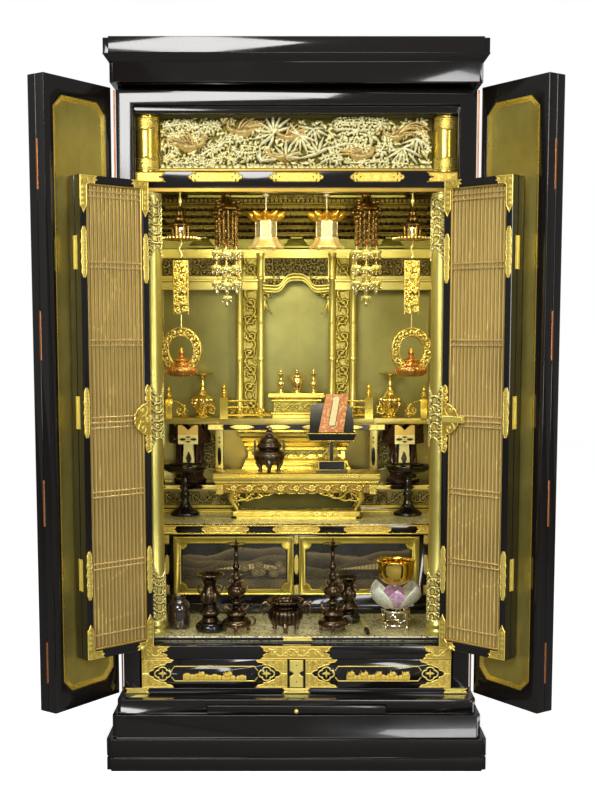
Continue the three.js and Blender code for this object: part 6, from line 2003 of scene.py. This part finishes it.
    x, y = side * 80, 120
    body = [turned(x, y, 1280, [(26, 0), (27, 2), (27, 54), (25, 56)], 6, 0),
            rod([(x, y, 1404), (x, y, 1350)], 2, 8, up=(0, 1, 0)),
            turned(x, y, 1384, [(3, 0), (9, 3), (9, 8), (3, 12)], 20)]
    scrolls = foliage(-10, 10, 1284, 1334, 9, 1, 6)
    body += facets(x, y, 27.4, 1282, 1335, 0.9,
                   lambda A, B, n: np.where(np.abs(A) < 11, 0.5 + 0.8 * balls(scrolls, A, B), 1.5), range(6))
    roof, skirt = [], []
    for k in range(10):
        w = 2 * np.pi * k / 10 + 0.3
        c, s = math.cos(w), math.sin(w)
        roof.append(rod([(x + r * c, y + r * s, 1332 + h) for r,
                         h in ((12, 2), (24, 1), (36, 3), (46, 8), (52, 14))],
                        [7, 12, 13, 9, 1], 10, up=(0, 0, 1)))
    skirt = [turned(x, y, 1252, [(36, 6), (42, 0), (43, 3), (34, 11), (29, 20), (28, 28)], 60, 2, 6, 0.12)]
    for k in range(6):
        w = 2 * np.pi * k / 6
        skirt.append(blob((x + 42 * math.cos(w), y + 42 * math.sin(w), 1254), (6, 6, 5), 10, 8))
    build(f"lantern_{name}_body", body, lantern_pale, "gilt_fittings", replaces=(f"lantern_{name}",),
          closed=False)
    build(f"lantern_{name}_roof", roof, petal_orange, "gilt_fittings")
    build(f"lantern_{name}_skirt", skirt, lantern_skirt_glow_highlight, "gilt_fittings")

# Fittings on the deck: a dark glass jar, two flared bronze vases, two tall candlesticks with leafy knops and a side
# loop, and a fluted censer, all of brown bronze and all empty.
brown_bronze = aged_metal("brown_bronze", (0.02, 0.013, 0.009), (0.2, 0.13, 0.07), 0.22, 0.9, 40.0)
smoked, tree, shader = new_material("smoked_glass")
shader.inputs["Base Color"].default_value = (0.03, 0.018, 0.014, 1)
shader.inputs["Roughness"].default_value = 0.08
shader.inputs["Coat Weight"].default_value = 1.0
deck_z = 297.4
jar = turned(-293, -154, deck_z,
             [(22, 0), (27, 3), (29, 14), (30, 40), (28, 58), (20, 68), (16, 71), (17, 76), (18, 79),
              (15, 79), (14, 72), (20, 60),
                                  (25, 40), (24, 12), (2, 8)], 48)
build("lidless_jar_glass", [jar], smoked, "bronze", replaces=("lidless_jar",))
for name, x, y, s in (("left", -213, -188, 1.0), ("right", 132.5, -94, 0.82)):
    base = turned(x, y, deck_z, [(30 * s, 0), (36 * s, 4), (36 * s, 14), (30 * s, 22), (20 * s, 26), (3, 27)],
                  48)
    flared_vase = [(22, 26), (20, 30), (17, 36), (27, 44), (28, 50), (21, 58), (15, 66), (20, 76), (23, 88),
                   (19, 100), (14, 110), (14, 118), (20, 130),
                   (33, 138), (36, 141), (35, 143), (28, 139), (12, 130), (9, 110), (2, 80)]
    vase = [turned(x, y, deck_z, [(r * s, h * s) for r, h in flared_vase], 48)]
    for k in range(8):
        w = k * np.pi / 4
        vase.append(blob((x + 19 * s * math.cos(w), y + 19 * s * math.sin(w), deck_z + 86 * s),
                         (5 * s, 5 * s, 13 * s)))
    for t in (-1, 1):
        vase.append(rod([(x + t * s * r, y, deck_z + s * h) for r,
                         h in ((15, 116), (27, 114), (30, 102), (24, 92), (19, 90))], 2.6 * s, 8,
                        up=(0, 1, 0)))
    build(f"vase_{name}_bronze", vase, brown_bronze, "bronze", replaces=(f"vase_{name}",), sharp=50)
    build(f"vase_{name}_base", [base], stand_black, "bronze")


def bracts(x, y, z, radius, size, count, lean=0.6):
    """A whorl of pointed leaves that turn up and outward round a stem."""
    made = []
    for w in np.arange(count) * 2 * np.pi / count + 0.3:
        c, s = math.cos(w), math.sin(w)
        path = [(x + r * c, y + r * s, z + h) for r,
                h in ((radius * 0.5, 0), (radius + 0.5 * size * lean, 0.35 * size),
                                                           (radius + size * lean, 0.8 * size),
                                                           (radius + 0.8 * size * lean, size))]
        made.append(rod(path, [1.4, 0.2 * size, 0.16 * size, 0.6], 8, up=(-s, c, 0)))
    return made


for name, x, y in (("left", -147.5, -200), ("right", 89, -200)):
    line = [(18, 12), (34, 15), (37, 22), (34, 30), (20, 36), (24, 42), (27, 48), (20, 54), (9, 60), (7, 66),
            (12, 70), (12, 76), (7, 80), (8, 86),
            (19, 92), (24, 102), (20, 112), (8, 120), (6, 126), (10, 132), (10, 138), (6, 144), (5, 156),
            (9, 160), (8, 166), (4.5, 172), (4, 186), (6, 190),
            (4, 196), (4, 206), (12, 214), (25, 219), (26, 221), (10, 219), (3, 221), (1.6, 234)]
    stick_parts = [turned(x, y, deck_z, line, 40)]
    for z, radius, size, count in ((52, 22, 14, 8), (100, 21, 13, 9), (118, 10, 12, 8), (136, 8, 9, 6)):
        stick_parts += bracts(x, y, deck_z + z, radius, size, count)
    for k in range(3):
        w = -np.pi / 2 + 2 * np.pi * k / 3
        c, s = math.cos(w), math.sin(w)
        stick_parts.append(rod([(x + r * c, y + r * s, deck_z + h) for r,
                                h in ((26, 22), (34, 16), (32, 8), (34, 0.6))], [5, 6, 4, 4.5], 10,
                                up=(-s, c, 0)))
    loop = [(x + 34 + 12 * math.cos(w), y, deck_z + 27 + 12 * math.sin(w))
            for w in np.linspace(-2.4, 2.6, 14)]
    stick_parts.append(rod(loop, 2.8, 8, up=(0, 1, 0)))
    build(f"candlestick_{name}_bronze", stick_parts, brown_bronze, "bronze",
          replaces=(f"candlestick_{name}",), sharp=50)

x, y = -27, -184
bowl = [turned(x, y, deck_z,
               [(16, 14), (30, 16), (41, 28), (44, 42), (42, 52), (34, 58), (32, 62), (36, 68), (45, 72),
                (46, 76), (44, 78), (34, 72), (30, 60),
                              (38, 44), (30, 24), (3, 20)], 96, 2, 24, 0.018)]
for t in (-1, 1):
    bowl.append(rod([(x + t * r, y, deck_z + h) for r,
                     h in ((38, 62), (50, 70), (60, 64), (61, 50), (54, 40), (48, 44), (50, 52))],
                     [5, 5, 4.4, 4, 3.4, 3, 3.6], 10,
                    up=(0, 1, 0)))
for k in range(3):
    w = -np.pi / 2 + 2 * np.pi * k / 3
    c, s = math.cos(w), math.sin(w)
    bowl.append(rod([(x + r * c, y + r * s, deck_z + h) for r, h in ((30, 24), (35, 16), (30, 7), (32, 0.6))],
                    [7, 8, 5, 6], 10, up=(-s, c, 0)))
build("censer_bronze_bowl", bowl, brown_bronze, "bronze", replaces=("censer",), sharp=60)

# Bell set at the right of the deck: a bright ring stand, a glass lotus of broad petals in white and mauve, a gilt bowl
# bell resting in it and a short striker lying before it.
x, y = 249, -133
chrome = worked_gold("bright_stand", (0.3, 0.2, 0.062), (0.75, 0.6, 0.248), (1.0, 0.93, 0.8), 0.98, 0.1, 60.0,
                     0.05)
ring_at = [(x + 34 * math.cos(w), y + 34 * math.sin(w), deck_z + 40)
           for w in np.linspace(0, 2 * np.pi, 40, endpoint=False)]
stand = [rod(ring_at, 3, 10, loop=True), rod([(a, b, deck_z + 6) for a, b, c in ring_at], 2.2, 8, loop=True)]
for w in np.arange(4) * np.pi / 2 + np.pi / 4:
    c, s = math.cos(w), math.sin(w)
    stand.append(stick((x + 38 * c, y + 38 * s, deck_z + 0.4), (-0.12 * c, -0.12 * s, 0.99), (-s, c, 0),
                       (c, s, 0), (42, 7, 3), 0.8))
    loop = [(x + 36 * math.cos(v), y + 36 * math.sin(v), deck_z + 24 + 10 * math.sin(6 * v))
            for v in np.linspace(w + 0.3, w + 1.27, 16)]
    stand.append(rod(loop, 1.8, 8))
build("bell_stand_metal", stand, chrome, "gilt_fittings", replaces=("bell_stand",))


def petal(w, radius, z0, high, wide, curve, thick):
    """A broad lotus petal: cupped across, rising outward and turning up to a blunt point."""
    u = np.linspace(0, 1, 15)[:, None]
    v = np.linspace(-1, 1, 13)[None, :]
    half = wide * np.sin(np.pi * np.clip(0.12 + 0.88 * u, 0, 1)) ** 0.55 * (1 - 0.25 * u)
    swing = v * half / (radius + 1)
    r = radius * (0.35 + curve * np.sin(0.5 * np.pi * u) - 0.12 * (u ** 3)) - 5 * v * v * (1 - u)
    z = z0 + high * (0.08 + 0.92 * u ** 1.25) - 0.1 * high * v * v
    outside = np.stack([x + r * np.cos(w + swing), y + r * np.sin(w + swing), z + 0 * v], -1)
    inside = np.stack([x + (r - thick) * np.cos(w + swing), y + (r - thick) * np.sin(w + swing),
                       z + 0.6 + 0 * v], -1)
    return sheet(np.concatenate([outside, inside[:, ::-1]], 1), False, True)


def lotus_glass(name, colour, streak):
    material, tree, shader = new_material(name)
    place = object_place(tree)
    grain = shader_node(tree, "TexNoise", {"Vector": place, "Scale": 120.0, "Detail": 6.0, "Roughness": 0.8})
    tree.links.new(ramp(tree, grain.outputs["Fac"], (0.4, colour), (0.62, streak)),
                   shader.inputs["Base Color"])
    shader.inputs["Roughness"].default_value = 0.16
    shader.inputs["Coat Weight"].default_value = 0.7
    shader.inputs["Subsurface Weight"].default_value = 0.25
    shader.inputs["Subsurface Radius"].default_value = (0.01, 0.008, 0.006)
    return material


white_glass = lotus_glass("white_lotus_glass", (0.62, 0.68, 0.5), (0.92, 0.95, 0.85))
mauve_glass = lotus_glass("mauve_lotus_glass", (0.42, 0.2, 0.36), (0.75, 0.55, 0.68))
whites = [petal(w, 78, deck_z + 45, 64, 52, 0.62, 3) for w in np.arange(4) * np.pi / 2 - np.pi / 4]
mauves = [petal(w, 72, deck_z + 45, 58, 46, 0.62, 3) for w in np.arange(4) * np.pi / 2 - np.pi / 2]
build("bell_lotus_white",
      whites + [turned(x, y, deck_z + 44, [(10, 0), (24, 2), (30, 10), (20, 18), (3, 18)], 32)], white_glass,
      "lotus_glass",
      replaces=("bell_lotus",), sharp=60)
build("bell_lotus_mauve", mauves, mauve_glass, "lotus_glass", sharp=60)
amber = worked_gold("amber_bell_gold", (0.5, 0.22, 0.0186), (0.85, 0.5, 0.0558), (1.0, 0.72, 0.1364), 0.98,
                    0.08, 40.0, 0.03)
bell = turned(x, y, deck_z + 104,
              [(6, 0), (26, 4), (40, 16), (45, 34), (45, 54), (48, 60), (48, 63), (42, 63), (41, 56),
               (41, 34), (35, 18), (22, 8), (3, 6)], 64)
build("bowl_bell_gilt", [bell], amber, "gilt_fittings", replaces=("bowl_bell",))
way = np.array([[174, -240], [172, -205], [170, -170], [168, -135], [166, -100]], float)
line = np.column_stack([way, np.full(5, deck_z + 6.4)])
build("bell_striker_grip",
      [rod(np.array([line[0], (line[0] + line[1]) / 2, line[1], 0.6 * line[1] + 0.4 * line[2]]),
           [4.6, 6, 6, 5], 20)], stand_black,
      "lacquer_fittings", replaces=("bell_striker",))
build("bell_striker_head",
      [rod(np.array([0.6 * line[1] + 0.4 * line[2], line[2], line[3], line[4]]), [5.4, 5.8, 5.8, 4.6], 20)],
      cream_gold, "lacquer_fittings")

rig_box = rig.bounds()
plain = lambda box: [[round(v, 6) for v in corner] for corner in box]
with open("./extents.json", "w") as handle:
    json.dump({"cad": plain(cad_box), "visual": plain(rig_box)}, handle)
